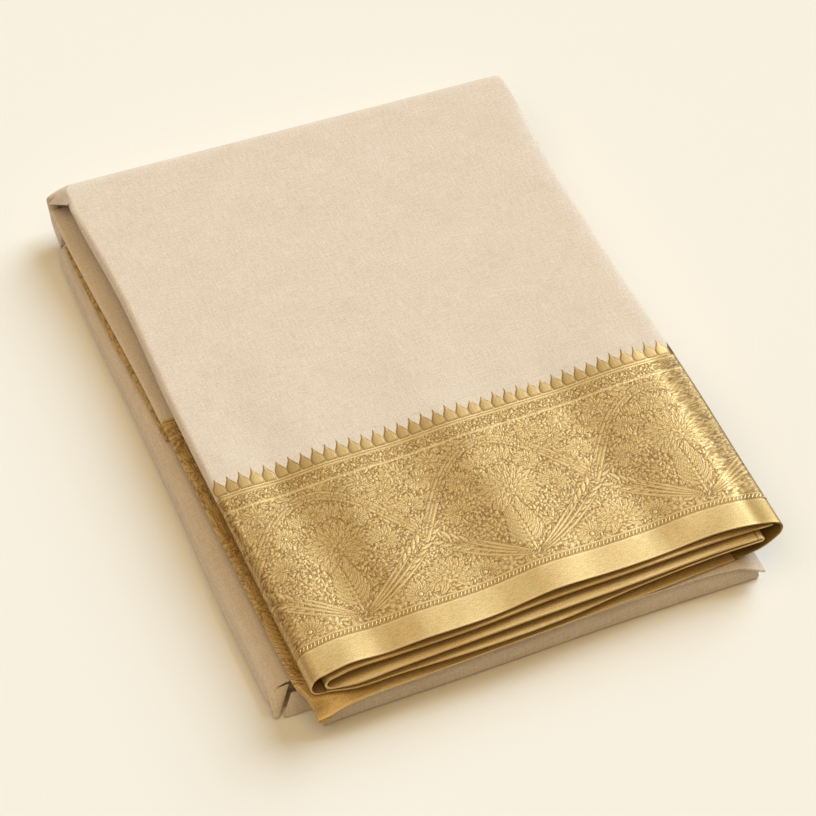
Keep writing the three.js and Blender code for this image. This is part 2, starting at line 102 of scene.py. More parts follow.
view_turn = math.radians(VIEW_AZIMUTH)
view_rise = math.radians(VIEW_ELEVATION)
camera_data = bpy.data.cameras.new("viewpoint")
camera_data.sensor_width = SENSOR
camera_data.lens = FOCAL_PIXELS * SENSOR / FRAME_PIXELS
camera_data.clip_end = 20
camera = bpy.data.objects.new("viewpoint", camera_data)
bpy.context.collection.objects.link(camera)
camera.location = (
    (VIEW_TARGET[0] - PACKET_MIDDLE[0] + math.sin(view_turn) * math.cos(view_rise) * VIEW_DISTANCE) * MM,
    (VIEW_TARGET[1] - PACKET_MIDDLE[1] - math.cos(view_turn) * math.cos(view_rise) * VIEW_DISTANCE) * MM,
    math.sin(view_rise) * VIEW_DISTANCE * MM,
)
camera.rotation_euler = (math.pi / 2 - view_rise, 0, view_turn)
bpy.context.scene.camera = camera
bpy.context.scene.view_settings.view_transform = "Standard"


# ---- Lower bundle -----------------------------------------------------------
# Plain ecru cloth folded many times, the widest part of the packet. Its left
# side bulges out, with a few soft pressed lines running along it.
PACKET_WIDTH = 178
BACK_SLANT = 5.5
LOWER_RIGHT = 168.0
PACK_END = 241.0
SIDE_STEPS = 30
LOWER_LEFT = [
    {"y": 0, "x": -12.9},
    {"y": 20, "x": -13.0},
    {"y": 55, "x": -12.7},
    {"y": 105, "x": -11.2},
    {"y": 150, "x": -10.2},
    {"y": 205, "x": -9.9},
    {"y": 232, "x": -9.0},
    {"y": 243, "x": -8.0},
]
SIDE_ROUND = [
    {"turn": 0, "inset": 6.4, "z": 7.6},
    {"turn": 1, "inset": 3.6, "z": 7.0},
    {"turn": 2, "inset": 1.7, "z": 5.9},
    {"turn": 3, "inset": 0.6, "z": 4.5},
    {"turn": 4, "inset": 0.15, "z": 3.0},
    {"turn": 5, "inset": 0.2, "z": 1.7},
    {"turn": 6, "inset": 0.8, "z": 0.6},
    {"turn": 7, "inset": 1.9, "z": 0.0},
]
ECRU = (234, 218, 196)
ECRU_SHADE = (206, 184, 155)
THREAD_PITCH = 0.045


def smooth(t):
    held = np.clip(t, 0.0, 1.0)
    return held * held * (3 - 2 * held)


def blend(a, b, t):
    return a + (b - a) * t


def column(rows, key_name, name, at):
    """Reads a table smoothly at any place along its first column."""
    keys = np.array([row[key_name] for row in rows], float)
    values = np.array([row[name] for row in rows], float)
    slopes = np.empty_like(values)
    slopes[1:-1] = (values[2:] - values[:-2]) / (keys[2:] - keys[:-2])
    slopes[0] = (values[1] - values[0]) / (keys[1] - keys[0])
    slopes[-1] = (values[-1] - values[-2]) / (keys[-1] - keys[-2])
    place = np.clip(np.asarray(at, float), keys[0], keys[-1])
    i = np.clip(np.searchsorted(keys, place, side="right") - 1, 0, len(keys) - 2)
    span = keys[i + 1] - keys[i]
    t = (place - keys[i]) / span
    return (
        (2 * t**3 - 3 * t**2 + 1) * values[i]
        + (t**3 - 2 * t**2 + t) * span * slopes[i]
        + (3 * t**2 - 2 * t**3) * values[i + 1]
        + (t**3 - t**2) * span * slopes[i + 1]
    )


def settle(x, y, z):
    """Millimetres of the folded packet to the frame: its right side is folded
    shorter, and the right edge wanders a little on its way to the back."""
    x, y, z = np.broadcast_arrays(np.asarray(x, float), y, z)
    slant = BACK_SLANT * np.clip(x / PACKET_WIDTH, 0, 1) * np.clip((y - 60) / 190, 0, 1)
    flare = 0.8 * np.exp(-(((y - 75) / 40) ** 2)) + 2.6 * smooth((y - 190) / 60)
    placed = np.stack([x + flare * smooth((x - 150) / 26), y - slant, z], axis=-1)
    placed[..., 0] -= PACKET_MIDDLE[0]
    placed[..., 1] -= PACKET_MIDDLE[1]
    return placed * MM


def ripple(x, y, seed, size):
    """Slow uneven waves, about one unit high, `size` millimetres across."""
    draw = np.random.default_rng(seed)
    total = 0.0
    for _ in range(5):
        turn = draw.uniform(0, 2 * math.pi)
        pitch = size * draw.uniform(0.7, 1.5)
        phase = draw.uniform(0, 2 * math.pi)
        total = total + np.sin((x * math.cos(turn) + y * math.sin(turn)) * 2 * math.pi / pitch + phase)
    return total / 3


def surface_ways(grid):
    """Outward direction at every point of a grid of points."""
    along = np.gradient(grid, axis=0)
    across = np.gradient(grid, axis=1)
    way = np.cross(across, along)
    return way / np.maximum(np.linalg.norm(way, axis=-1, keepdims=True), 1e-12)


def finish_mesh(name, points, faces, cloth_place, material):
    mesh = bpy.data.meshes.new(name)
    mesh.from_pydata(points.tolist(), [], faces)
    layer = mesh.uv_layers.new(name="cloth")
    loops = np.empty(len(mesh.loops), np.int32)
    mesh.loops.foreach_get("vertex_index", loops)
    layer.data.foreach_set("uv", cloth_place[loops].astype(np.float32).ravel())
    mesh.polygons.foreach_set("use_smooth", [True] * len(mesh.polygons))
    mesh.set_sharp_from_angle(angle=math.radians(50))
    mesh.materials.append(material)
    mesh.update()
    piece = bpy.data.objects.new(name, mesh)
    bpy.context.collection.objects.link(piece)
    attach(piece, "root")
    return piece


def cloth_shell(name, middle, cloth_place, material, out=0.4, into=-0.4, thin=1, woven=None):
    """A closed sheet around a grid of middle points. `out` and `into` are how
    far its two faces stand from them, in millimetres. The hidden face takes
    every `thin`-th row and column. `woven` holds the weave's tones and any mask of painted shade."""
    way = surface_ways(middle)
    outer = middle + way * out * MM
    inner = (middle + way * into * MM)[::thin, ::thin]
    down, across = outer.shape[:2]
    low_down, low_across = inner.shape[:2]
    points = np.concatenate([outer.reshape(-1, 3), inner.reshape(-1, 3)])
    place = np.concatenate([
        cloth_place.reshape(-1, 2), cloth_place[::thin, ::thin].reshape(-1, 2)])
    top = np.arange(down * across).reshape(down, across)
    low = np.arange(low_down * low_across).reshape(low_down, low_across) + down * across
    faces = np.stack([top[:-1, :-1], top[:-1, 1:], top[1:, 1:], top[1:, :-1]], -1).reshape(-1, 4).tolist()
    faces += np.stack([low[:-1, :-1], low[1:, :-1], low[1:, 1:], low[:-1, 1:]], -1).reshape(-1, 4).tolist()
    rims = [
        (top[0], low[0], False),
        (top[-1], low[-1], True),
        (top[:, 0], low[:, 0], True),
        (top[:, -1], low[:, -1], False),
    ]
    for fine, coarse, turned in rims:
        for k in range(len(coarse) - 1):
            a = int(coarse[k])
            b = int(coarse[k + 1])
            fan = [int(i) for i in fine[k * thin:(k + 1) * thin + 1]]
            ring = [a, b] + fan[::-1]
            faces.append(ring[::-1] if turned else ring)
    piece = finish_mesh(name, points, faces, place, material)
    for field, values in (woven or {}).items():
        both = np.concatenate([values.ravel(), values[::thin, ::thin].ravel()]).astype(np.float32)
        piece.data.attributes.new(field, "FLOAT", "POINT").data.foreach_set("value", both)
    return piece


def closed_roll(name, rings, cloth_place, material):
    """A closed solid from rings of points, both ends filled."""
    count, around = rings.shape[:2]
    index = np.arange(count * around).reshape(count, around)
    following = np.roll(index, -1, axis=1)
    faces = np.stack([index[:-1], following[:-1], following[1:], index[1:]], -1).reshape(-1, 4).tolist()
    faces.append(index[0][::-1].tolist())
    faces.append(index[-1].tolist())
    points = rings.reshape(-1, 3)
    piece = finish_mesh(name, points, faces, cloth_place.reshape(-1, 2), material)
    volume = 0.0
    for a, b, c, d in faces[: (count - 1) * around]:
        volume += np.dot(points[a], np.cross(points[b], points[c]))
        volume += np.dot(points[a], np.cross(points[c], points[d]))
    if volume < 0:
        piece.data.flip_normals()
    return piece


def dye(red, green, blue):
    """A colour swatch, 0 to 255, as the linear colour a shader takes."""
    share = np.array([red, green, blue]) / 255
    curved = ((share + 0.055) / 1.055) ** 2.4
    return tuple(float(c) for c in np.where(share <= 0.04045, share / 12.92, curved))


def node(tree, kind, values=None, **settings):
    made = tree.nodes.new(kind)
    for name, value in settings.items():
        setattr(made, name, value)
    for name, value in (values or {}).items():
        if isinstance(value, bpy.types.NodeSocket):
            tree.links.new(value, made.inputs[name])
        else:
            made.inputs[name].default_value = value
    return made


def maths(tree, operation, *values):
    return node(tree, "ShaderNodeMath", dict(enumerate(values)), operation=operation).outputs[0]


def noise(tree, place, scale, detail, roughness=0.5):
    values = {"Vector": place, "Scale": scale, "Detail": detail, "Roughness": roughness}
    return node(tree, "ShaderNodeTexNoise", values).outputs[0]


def stretched(tree, place, stretch):
    return node(tree, "ShaderNodeVectorMath", {0: place, 1: stretch}, operation="MULTIPLY").outputs[0]


def past_half(tree, value):
    return maths(tree, "SUBTRACT", value, 0.5)


def plain_weave(tree):
    """Tone and height of a fine hand-spun plain weave, read from the piece's own
    cloth map, which is in centimetres. The threads are uneven in thickness, with
    slubs along both ways."""
    cloth = node(tree, "ShaderNodeUVMap", uv_map="cloth").outputs[0]
    apart = node(tree, "ShaderNodeSeparateXYZ", {0: cloth})
    wander = noise(tree, cloth, 6.0, 3.0)
    threads = []
    for way in (0, 1):
        turns = maths(tree, "MULTIPLY", apart.outputs[way], 2 * math.pi / THREAD_PITCH)
        threads.append(maths(tree, "SINE", maths(tree, "MULTIPLY_ADD", wander, 9.0, turns)))
    crossing = maths(tree, "MULTIPLY", *threads)
    slubs = []
    for stretch in ((0.9, 16.0, 1.0), (16.0, 0.9, 1.0)):
        slubs.append(past_half(tree, noise(tree, stretched(tree, cloth, stretch), 1.6, 4.0, 0.62)))
    slub = maths(tree, "ADD", *slubs)
    grain = noise(tree, cloth, 13.0, 3.0)
    cloudy = noise(tree, cloth, 0.55, 3.0)
    tone = maths(tree, "MULTIPLY_ADD", slub, 1.1, 0.5)
    tone = maths(tree, "MULTIPLY_ADD", past_half(tree, grain), 1.3, tone)
    tone = maths(tree, "MULTIPLY_ADD", past_half(tree, cloudy), 0.35, tone)
    tone = maths(tree, "MULTIPLY_ADD", crossing, 0.07, tone)
    height = maths(tree, "MULTIPLY_ADD", slub, 1.1, grain)
    height = maths(tree, "MULTIPLY_ADD", crossing, 0.3, height)
    return tone, height


def ground_cloth(name):
    made = bpy.data.materials.new(name)
    made.use_nodes = True
    tree = made.node_tree
    surface = tree.nodes["Principled BSDF"]
    tone, height = plain_weave(tree)
    colour = node(tree, "ShaderNodeMix", {0: tone}, data_type="RGBA", clamp_factor=True)
    colour.inputs[6].default_value = (*dye(*ECRU_SHADE), 1)
    colour.inputs[7].default_value = (*dye(*ECRU), 1)
    tree.links.new(colour.outputs[2], surface.inputs["Base Color"])
    relief = node(tree, "ShaderNodeBump", {"Strength": 0.35, "Distance": 0.00012, "Height": height})
    tree.links.new(relief.outputs[0], surface.inputs["Normal"])
    surface.inputs["Roughness"].default_value = 0.78
    surface.inputs["Specular IOR Level"].default_value = 0.25
    surface.inputs["Sheen Weight"].default_value = 0.12
    surface.inputs["Sheen Roughness"].default_value = 0.4
    return made


ecru_cloth = ground_cloth("ecru ground cloth")


def bundle_ring(y, inset, lean):
    """A ring round the bundle at `y`, up its left side and down its right one."""
    left_turn = np.linspace(7, 0, SIDE_STEPS)
    right_turn = np.linspace(0, 7, SIDE_STEPS)
    left = column(LOWER_LEFT, "y", "x", y) + inset
    left_z = column(SIDE_ROUND, "turn", "z", left_turn)
    left_x = left + column(SIDE_ROUND, "turn", "inset", left_turn)
    pressed = 0.16 * np.sin(left_turn * 3.3 + 0.6 * math.sin(y / 37)) * smooth((left_turn - 0.3) / 1.5)
    pressed += 0.1 * np.sin(left_turn * 6.1 + y / 29) * smooth((left_turn - 0.6) / 1.5)
    pressed *= smooth((6.8 - left_turn) / 1.2)
    right_z = column(SIDE_ROUND, "turn", "z", right_turn)
    right_x = LOWER_RIGHT - inset - 0.7 * column(SIDE_ROUND, "turn", "inset", right_turn)
    layered = 0.28 * np.abs(np.sin(right_turn * 1.35)) * smooth((6.8 - right_turn) / 1.0)
    x = np.concatenate([left_x - pressed, right_x - layered])
    z = np.concatenate([left_z, right_z])
    # the top of the end stands forward as a lip over the folded flap
    lip = 1.6 * smooth((z - 5.2) / 0.9) * smooth((12 - y) / 6)
    return settle(x, y + lean * z - lip, z)


bundle_stations = np.concatenate([
    np.array([4.8, 5.4, 6.4]), np.linspace(8, 237, 116), np.array([238.6, 239.6, PACK_END - 0.8])])
# the first ring lies behind the next ones, so the open end is a shallow hollow
hollow_end = bundle_ring(11.0, 2.0, 0.5)
hollow_end[:, 2] = hollow_end[:, 2] * 0.78 + 0.6 * MM
bundle_rings = [hollow_end]
bundle_place = [np.zeros((2 * SIDE_STEPS, 2))]
for station in bundle_stations:
    start_in = 0.8 * smooth((6.4 - station) / 1.6)
    end_in = 1.7 * smooth((station - 237) / 3.2)
    lean = 0.75 * smooth((38 - station) / 33)
    ring = bundle_ring(station, start_in + end_in, lean)
    bundle_rings.append(ring)
    girth = np.concatenate([[0], np.cumsum(np.linalg.norm(np.diff(ring, axis=0), axis=1))]) / MM
    bundle_place.append(np.stack([girth / 10, np.full(len(ring), station / 10)], -1))
lower_bundle = closed_roll(
    "ecru_lower_bundle", np.array(bundle_rings), np.array(bundle_place), ecru_cloth)
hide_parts("lower_bundle")


# ---- Front turn and the layer that returns over it --------------------------
# The outermost ecru cloth comes forward underneath, rises as the plain front
# face and turns back below the gold as one thin layer.
FRONT_FACE = [
    {"x": 1, "floor": -8.0, "top": -6.4, "rim": -5.6},
    {"x": 20, "floor": -7.6, "top": -6.0, "rim": -5.4},
    {"x": 60, "floor": -7.2, "top": -5.2, "rim": -4.8},
    {"x": 105, "floor": -6.0, "top": -4.0, "rim": -4.2},
    {"x": 135, "floor": -5.7, "top": -3.8, "rim": -4.4},
    {"x": 150, "floor": -5.8, "top": -3.8, "rim": -4.6},
    {"x": 158, "floor": -5.8, "top": -4.0, "rim": -5.6},
    {"x": 168, "floor": -5.4, "top": -4.0, "rim": -6.8},
]
RETURN_LEVEL = 8.65

front_rings = []
front_place = []
for x in np.linspace(1.4, 166.4, 150):
    low = float(1 - 0.34 * smooth((x - 155) / 10) - 0.5 * smooth((6.4 - x) / 4))
    floor_line = float(column(FRONT_FACE, "x", "floor", x))
    top_line = float(column(FRONT_FACE, "x", "top", x))
    sag = 0.25 * float(ripple(np.array(x), np.array(0.0), 3, 46))
    profile = [
        {"step": 0, "y": 3.2, "z": 0.0},
        {"step": 1, "y": 3.2 + 4.8 * low, "z": 6.6},
        {"step": 2, "y": 1.8 + 4.8 * low, "z": 7.7},
        {"step": 3, "y": top_line + 1.2, "z": 7.8},
        {"step": 4, "y": top_line + 0.1, "z": 7.2},
        {"step": 5, "y": blend(top_line, floor_line, 0.3) - 0.5 + sag, "z": 5.6},
        {"step": 6, "y": blend(top_line, floor_line, 0.6) - 0.6 + sag, "z": 3.6},
        {"step": 7, "y": floor_line - 0.2, "z": 1.4},
        {"step": 8, "y": floor_line + 0.1, "z": 0.5},
        {"step": 9, "y": floor_line + 0.9, "z": 0.0},
    ]
    steps = np.concatenate([np.linspace(0, 3, 7)[:-1], np.linspace(3, 9, 25)])
    ring_y = column(profile, "step", "y", steps)
    ring_z = np.maximum(0.0, column(profile, "step", "z", steps)) * low
    front_rings.append(settle(x, ring_y, ring_z))
    front_place.append(np.stack([np.full(len(steps), x / 10), steps * 0.16], -1))
front_turn = closed_roll(
    "ecru_front_turn", np.array(front_rings), np.array(front_place), ecru_cloth)
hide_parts("front_turn")

return_x = np.linspace(10, 167, 150)
return_run = np.linspace(0, 1, 60) ** 2
return_rows = []
for share in return_run:
    rim = column(FRONT_FACE, "x", "rim", return_x)
    hang = 2.2 * smooth((return_x - 158) / 10) * smooth(1 - share * 49 / 2 * 0.28)
    return_rows.append(settle(return_x, blend(rim - 0.9 * hang, PACK_END - 2, share), RETURN_LEVEL - hang))
return_rows = np.array(return_rows)
return_place = (return_rows[..., :2] / MM + np.array(PACKET_MIDDLE)) / 10
front_return = cloth_shell(
    "ecru_front_return", return_rows, return_place, ecru_cloth)
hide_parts("front_return")


# ---- Front left corner ------------------------------------------------------
# The end of the bundle is closed like a parcel: its side cloth is folded into a
# pointed flap over the end, and an end panel stands behind it.
FLAP = [(-12.6, 1.2, 0.6), (-11.3, 1.3, 0.6), (-4.4, 8.6, 6.6), (-12.3, 9.2, 5.9)]
PANEL = [(-9.6, 0.6, 0.4), (0.8, 0.4, 0.4), (0.8, 4.2, 7.0), (-5.2, 4.4, 7.2)]


def corner_piece(name, node_name, corners, bulge, seed):
    steps = 24
    across, up = np.meshgrid(np.linspace(0, 1, steps), np.linspace(0, 1, steps))
    a, b, c, d = (np.array(corner, float) for corner in corners)
    lower = a + (b - a) * across[..., None]
    upper = d + (c - d) * across[..., None]
    grid = lower + (upper - lower) * up[..., None]
    swell = bulge * np.sin(math.pi * across) * np.sin(math.pi * up * 0.9 + 0.2)
    swell += 0.12 * ripple(grid[..., 0], grid[..., 2], seed, 6)
    grid[..., 1] -= swell
    grid[..., 2] += 0.3 * swell
    placed = settle(grid[..., 0], grid[..., 1], grid[..., 2])
    place = np.stack([grid[..., 0], grid[..., 2]], -1) / 10
    piece = cloth_shell(name, placed, place, ecru_cloth, out=0.4, into=-0.1)
    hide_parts(node_name)


corner_piece("ecru_corner_flap", "corner_flap", FLAP, 0.7, 5)
corner_piece("ecru_corner_panel", "corner_panel", PANEL, 0.3, 6)


# ---- Border turned inside ---------------------------------------------------
# A strip of the second woven border, folded in between the upper layers and the
# bundle. Only its turned edge stands out, along the back half of the left side.
GOLD_THREAD = (220, 188, 126)
GOLD_GROUND = (184, 148, 86)
GOLD_GAP = (122, 86, 34)
AGED_TINT = (1.0, 0.93, 0.76)
# painted shade: the tint that darkens the border along its right turn
RIGHT_TURN_SHADE_TINT = (0.5, 0.44, 0.24)
GOLD_PITCH = 0.042
SELVEDGE_DEPTH = 11.0
FLOWER_FROM = 14.6
FLOWER_TO = 78.0
SCROLL_FROM = 79.6
SCROLL_TO = 84.4
TIP_BASE = 86.5
LADDER_FROM = 11.7
LADDER_TO = 13.9
REPEAT = 65.5
MEDALLION_AT = 92.5
CELL = 0.15
ARCH_MIDDLE = 42.0
ARCH_RISE = 32.0
ARCH_SPAN = 66.0
ARCH_SLOPE = 1.52
ARCH_HALF = 1.9
ARCH_LINES_APART = 1.27


class Draft:
    """The weaver's draft: one repeat of the border, `CELL` millimetres a point.
    It holds how high the gold thread floats, from 0 in a gap to 1 on a line."""

    def __init__(self, low, high, base):
        self.low = low
        self.across = int(round(REPEAT / CELL))
        self.down = int(round((high - low) / CELL)) + 1
        self.thread = np.full((self.down, self.across), float(base))

    def window(self, u, v, reach):
        """Rows, columns and offsets of the points within `reach` of a place."""
        first = max(0, int((v - reach - self.low) / CELL))
        last = min(self.down, int((v + reach - self.low) / CELL) + 2)
        middle = int(round((u + REPEAT / 2) / CELL))
        half = min(int(reach / CELL) + 1, self.across // 2 - 1)
        columns = np.arange(middle - half, middle + half + 1)
        rows = np.arange(first, max(first, last))
        du = columns * CELL - REPEAT / 2 - u
        dv = rows * CELL + self.low - v
        return rows[:, None], (columns % self.across)[None, :], du[None, :], dv[:, None]

    def lay(self, rows, columns, inside, fill, line=0.95, cut=0.74):
        """Lays a figure whose depth `inside` is positive within it: its filling
        covers what lies below, a bright thread runs just inside its edge and a
        dark one just outside."""
        within = smooth(inside / 0.4 + 0.5)
        new = self.thread[rows, columns] * (1 - within) + fill * within
        rim = np.exp(-(((inside - 0.18) / 0.15) ** 2)) * line
        gap = np.exp(-(((inside + 0.2) / 0.15) ** 2)) * cut
        self.thread[rows, columns] = np.maximum(new, rim) * (1 - gap)

    def blade(self, u, v, way, length, width, bend=0.0, veins=1, fill=0.42, line=1.0, tip=0.8):
        """A petal, leaf or stem from its foot at (u, v) in the direction `way`."""
        reach = length * (1 + abs(bend)) + width
        rows, columns, du, dv = self.window(u, v, reach)
        along = (du * math.cos(way) + dv * math.sin(way)) / length
        across = -du * math.sin(way) + dv * math.cos(way)
        across = across - bend * length * along**2
        part = np.clip(along, 0.0, 1.0)
        half = width / 2 * np.sin(math.pi * part**tip) ** 0.8 + 0.02
        inside = half - np.abs(across)
        inside = np.minimum(inside, np.minimum(along, 1 - along) * length + 0.15)
        stripe = 0.5 + 0.5 * np.cos(math.pi * across / np.maximum(half, 0.25) * (veins + 1))
        self.lay(rows, columns, inside, fill * 0.85 + (0.95 - fill * 0.85) * stripe**1.2, line)

    def disc(self, u, v, radius, fill=0.5, line=1.0):
        rows, columns, du, dv = self.window(u, v, radius + 1)
        self.lay(rows, columns, radius - np.hypot(du, dv), fill, line)

    def rosette(self, u, v, radius, petals, turn=0.0, veins=1, spread=2 * math.pi, heart=0.28):
        """Petals round a dark heart with a light point."""
        step = spread / petals
        for k in range(petals):
            way = turn + step * (k - (petals - 1) / 2)
            width = max(0.9, 2 * math.sin(step / 2) * radius * 0.86)
            self.blade(u, v, way, radius, width, veins=veins, tip=1.25)
        self.disc(u, v, radius * heart, 0.15)
        self.disc(u, v, radius * heart * 0.45, 1.0, 0.6)

    def band(self, inside_of, fill_of, reach_low, reach_high):
        """A line or frame that runs through the whole repeat."""
        first = int((reach_low - self.low) / CELL)
        last = min(self.down, int((reach_high - self.low) / CELL))
        rows = np.arange(max(0, first), last)[:, None]
        columns = np.arange(self.across)[None, :]
        u = columns * CELL - REPEAT / 2 + 0.0 * rows
        v = rows * CELL + self.low + 0.0 * columns
        self.lay(rows, columns, inside_of(u, v), fill_of(u, v))

    def at(self, u, v):
        """Thread at any place of the cloth, in millimetres, smoothly read."""
        col = np.mod((u - MEDALLION_AT + REPEAT / 2) / CELL, self.across)
        row = np.clip((v - self.low) / CELL, 0, self.down - 1.001)
        c = col.astype(int)
        r = row.astype(int)
        fc = col - c
        fr = row - r
        following = (c + 1) % self.across
        c = c % self.across
        return (
            self.thread[r, c] * (1 - fr) * (1 - fc) + self.thread[r, following] * (1 - fr) * fc
            + self.thread[r + 1, c] * fr * (1 - fc) + self.thread[r + 1, following] * fr * fc)


def arch(u):
    return ARCH_MIDDLE + ARCH_RISE * np.cos(math.pi * u / ARCH_SPAN)


def from_arch(u, v):
    return (v - arch(u)) / np.sqrt(1 + (ARCH_SLOPE * np.sin(math.pi * u / ARCH_SPAN)) ** 2)


flowers = Draft(FLOWER_FROM, FLOWER_TO, 0.7)
chance = random.Random(41)

# small leaves and curls that fill the ground between the figures
for _ in range(4600):
    u = chance.uniform(-REPEAT / 2, REPEAT / 2)
    v = chance.uniform(FLOWER_FROM - 1, FLOWER_TO)
    flow = 1.5 * math.sin(u / 5.1) + 1.9 * math.cos(v / 4.3 + u / 9) + chance.uniform(-0.9, 0.9)
    flowers.blade(
        u, v, flow + math.pi / 2, chance.uniform(1.4, 3.0), chance.uniform(0.7, 1.15),
        chance.uniform(-0.6, 0.6), 0, chance.uniform(0.6, 0.9), chance.uniform(0.7, 0.95))
for _ in range(46):
    u = chance.uniform(-REPEAT / 2, REPEAT / 2)
    v = chance.uniform(FLOWER_FROM + 1.5, FLOWER_TO - 1.5)
    flowers.rosette(
        u, v, chance.uniform(1.6, 2.5), chance.choice([4, 5, 6]), chance.uniform(0, 6), 0,
        heart=0.3)

# leaves along the arch, and flowers in the spaces above it
for side in (-1, 1):
    for k in range(9):
        u = side * (4.5 + 3.1 * k)
        lean = math.atan2(-ARCH_SLOPE * math.sin(math.pi * abs(u) / ARCH_SPAN), 1.0)
        way = math.pi / 2 - side * (0.8 - lean)
        flowers.blade(u, float(arch(u)) + 1.6, way, 5.4, 2.0, side * 0.28, 1)
        flowers.blade(u, float(arch(u)) - 2.0, way + side * 2.0, 4.4, 1.7, side * 0.3, 0)
    flowers.rosette(side * 19.5, 72.8, 4.4, 7, 0.3 * side, 1)
    flowers.rosette(side * 25.6, 66.4, 5.0, 9, 0.9 * side, 1, spread=5.2)
flowers.rosette(-REPEAT / 2, 72.4, 5.6, 10, 0.2, 1)
flowers.rosette(-REPEAT / 2, 72.4, 3.4, 7, 0.5, 0)
flowers.rosette(-REPEAT / 2, 57.0, 4.8, 9, math.pi / 2, 1, spread=5.0)
for k in range(9):
    flowers.blade(
        -REPEAT / 2, 42.0, math.pi / 2 + 0.2 * (k - 4), 10.5 - 0.3 * abs(k - 4) ** 1.5, 1.7,
        0.06 * (k - 4), 1)

# long thin stems that rise from the foot of the medallion to both of its corners
for side in (-1, 1):
    foot = math.pi / 2 - side * math.pi / 2
    for k in range(12):
        along = 5.0 + 2.6 * k
        rise = 17.0 + 25.0 * (along / 33.0) ** 1.25
        climb = math.atan2(0.94 * (along / 33.0) ** 0.25, 1.0)
        way = foot + side * climb
        flowers.blade(side * along, rise + 1.6, way + side * 0.62, 5.2, 1.35, side * -0.2, 0, 0.6)
        flowers.blade(side * along, rise - 1.2, way - side * 0.62, 5.2, 1.35, side * 0.2, 0, 0.6)
    for k in range(4):
        way = foot + side * (0.36 + 0.1 * k)
        flowers.blade(
            side * (0.8 + 0.3 * k), 16.8 + 0.7 * k, way, 35.0 - 3.4 * k, 1.0,
            side * (0.2 - 0.05 * k), 0, 0.55, 0.8)

# the arched frame of the medallion: gold lines side by side, a few leaves over them
flowers.band(
    lambda u, v: ARCH_HALF - np.abs(from_arch(u, v)),
    lambda u, v: 0.36 + 0.46 * (0.5 + 0.5 * np.cos(2 * math.pi * from_arch(u, v) / ARCH_LINES_APART)),
    FLOWER_FROM, FLOWER_TO)
for _ in range(90):
    u = chance.uniform(-REPEAT / 2, REPEAT / 2)
    v = float(arch(u)) + chance.uniform(-3.0, 3.0)
    flowers.blade(
        u, v, chance.uniform(0, 6.3), chance.uniform(1.2, 2.2), chance.uniform(0.6, 0.9),
        chance.uniform(-0.5, 0.5), 0, 0.6, 0.75, 0.8)

# fans of petals in the spaces below
for side in (-1, 1):
    flowers.rosette(side * 20.5, 18.2, 6.0, 10, math.pi / 2 + 0.35 * side, 1, spread=3.8)
    flowers.rosette(side * 12.0, 18.0, 3.2, 6, math.pi / 2 + 0.4 * side, 0)
flowers.rosette(-REPEAT / 2, 21.6, 8.6, 15, math.pi / 2, 2, spread=5.2, heart=0.2)
flowers.rosette(-REPEAT / 2, 21.6, 5.6, 11, math.pi / 2 + 0.2, 1, spread=5.2, heart=0.2)
flowers.rosette(-REPEAT / 2, 21.6, 3.0, 7, math.pi / 2, 0, heart=0.3)

# the large flower inside the medallion, with its stem, leaves and buds
flowers.blade(0, 18.5, math.pi / 2, 26.0, 1.6, 0.04, 0)
for side in (-1, 1):
    for k in range(8):
        flowers.blade(
            side * 0.6, 23.0 + 2.1 * k, math.pi / 2 - side * (0.95 - 0.05 * k), 9.0 - 0.3 * k, 1.7,
            side * 0.28, 1)
    flowers.rosette(side * 18.0, 46.0, 5.8, 11, math.pi / 2 - side * 0.5, 1, spread=4.4, heart=0.2)
    flowers.rosette(side * 13.0, 59.0, 4.8, 9, math.pi / 2 - side * 0.9, 1, spread=5.0)
    for k in range(4):
        flowers.blade(side * 6, 62.0, math.pi / 2 + side * (0.4 - 0.4 * k), 6.4, 2.0, side * 0.2, 1)
flowers.rosette(2.0, 49.0, 11.6, 19, math.pi / 2, 1, spread=5.4, heart=0.15)
flowers.rosette(1.8, 48.6, 8.8, 15, math.pi / 2 + 0.12, 1, spread=5.4, heart=0.15)
flowers.rosette(1.6, 48.2, 5.8, 11, math.pi / 2, 1, spread=5.4, heart=0.2)
flowers.rosette(1.4, 47.8, 3.0, 7, math.pi / 2, 0, heart=0.3)
flowers.rosette(0, 66.0, 4.4, 9, 0.1, 1)

# the narrow scroll band between its light lines
scroll = Draft(SCROLL_FROM - 0.4, SCROLL_TO + 0.4, 0.72)
SCROLL_COUNT = 9
scroll_pitch = REPEAT / SCROLL_COUNT
scroll_middle = (SCROLL_FROM + SCROLL_TO) / 2
for _ in range(340):
    scroll.blade(
        chance.uniform(-REPEAT / 2, REPEAT / 2), chance.uniform(SCROLL_FROM, SCROLL_TO - 0.3),
        chance.uniform(0, 6.3), chance.uniform(1.2, 2.2), chance.uniform(0.7, 1.1), 0.3, 0, 0.5)
scroll.band(
    lambda u, v: 0.45 - np.abs(v - scroll_middle - 1.3 * np.sin(2 * math.pi * u / scroll_pitch)) * 0.7,
    lambda u, v: 0.9 + 0 * u, SCROLL_FROM - 0.4, SCROLL_TO + 0.4)
for k in range(SCROLL_COUNT * 2):
    at = -REPEAT / 2 + scroll_pitch * (k / 2 + 0.25)
    up = -1 if k % 2 == 0 else 1
    scroll.rosette(at, scroll_middle + up * 0.9, 1.35, 5, 0.4 * k, 0, heart=0.4)
    scroll.blade(at + 0.8, scroll_middle - up * 0.3, up * 0.8, 2.2, 1.0, 0.2 * up, 0)
    scroll.disc(at + 1.6, scroll_middle - up * 1.9, 0.4, 0.9)


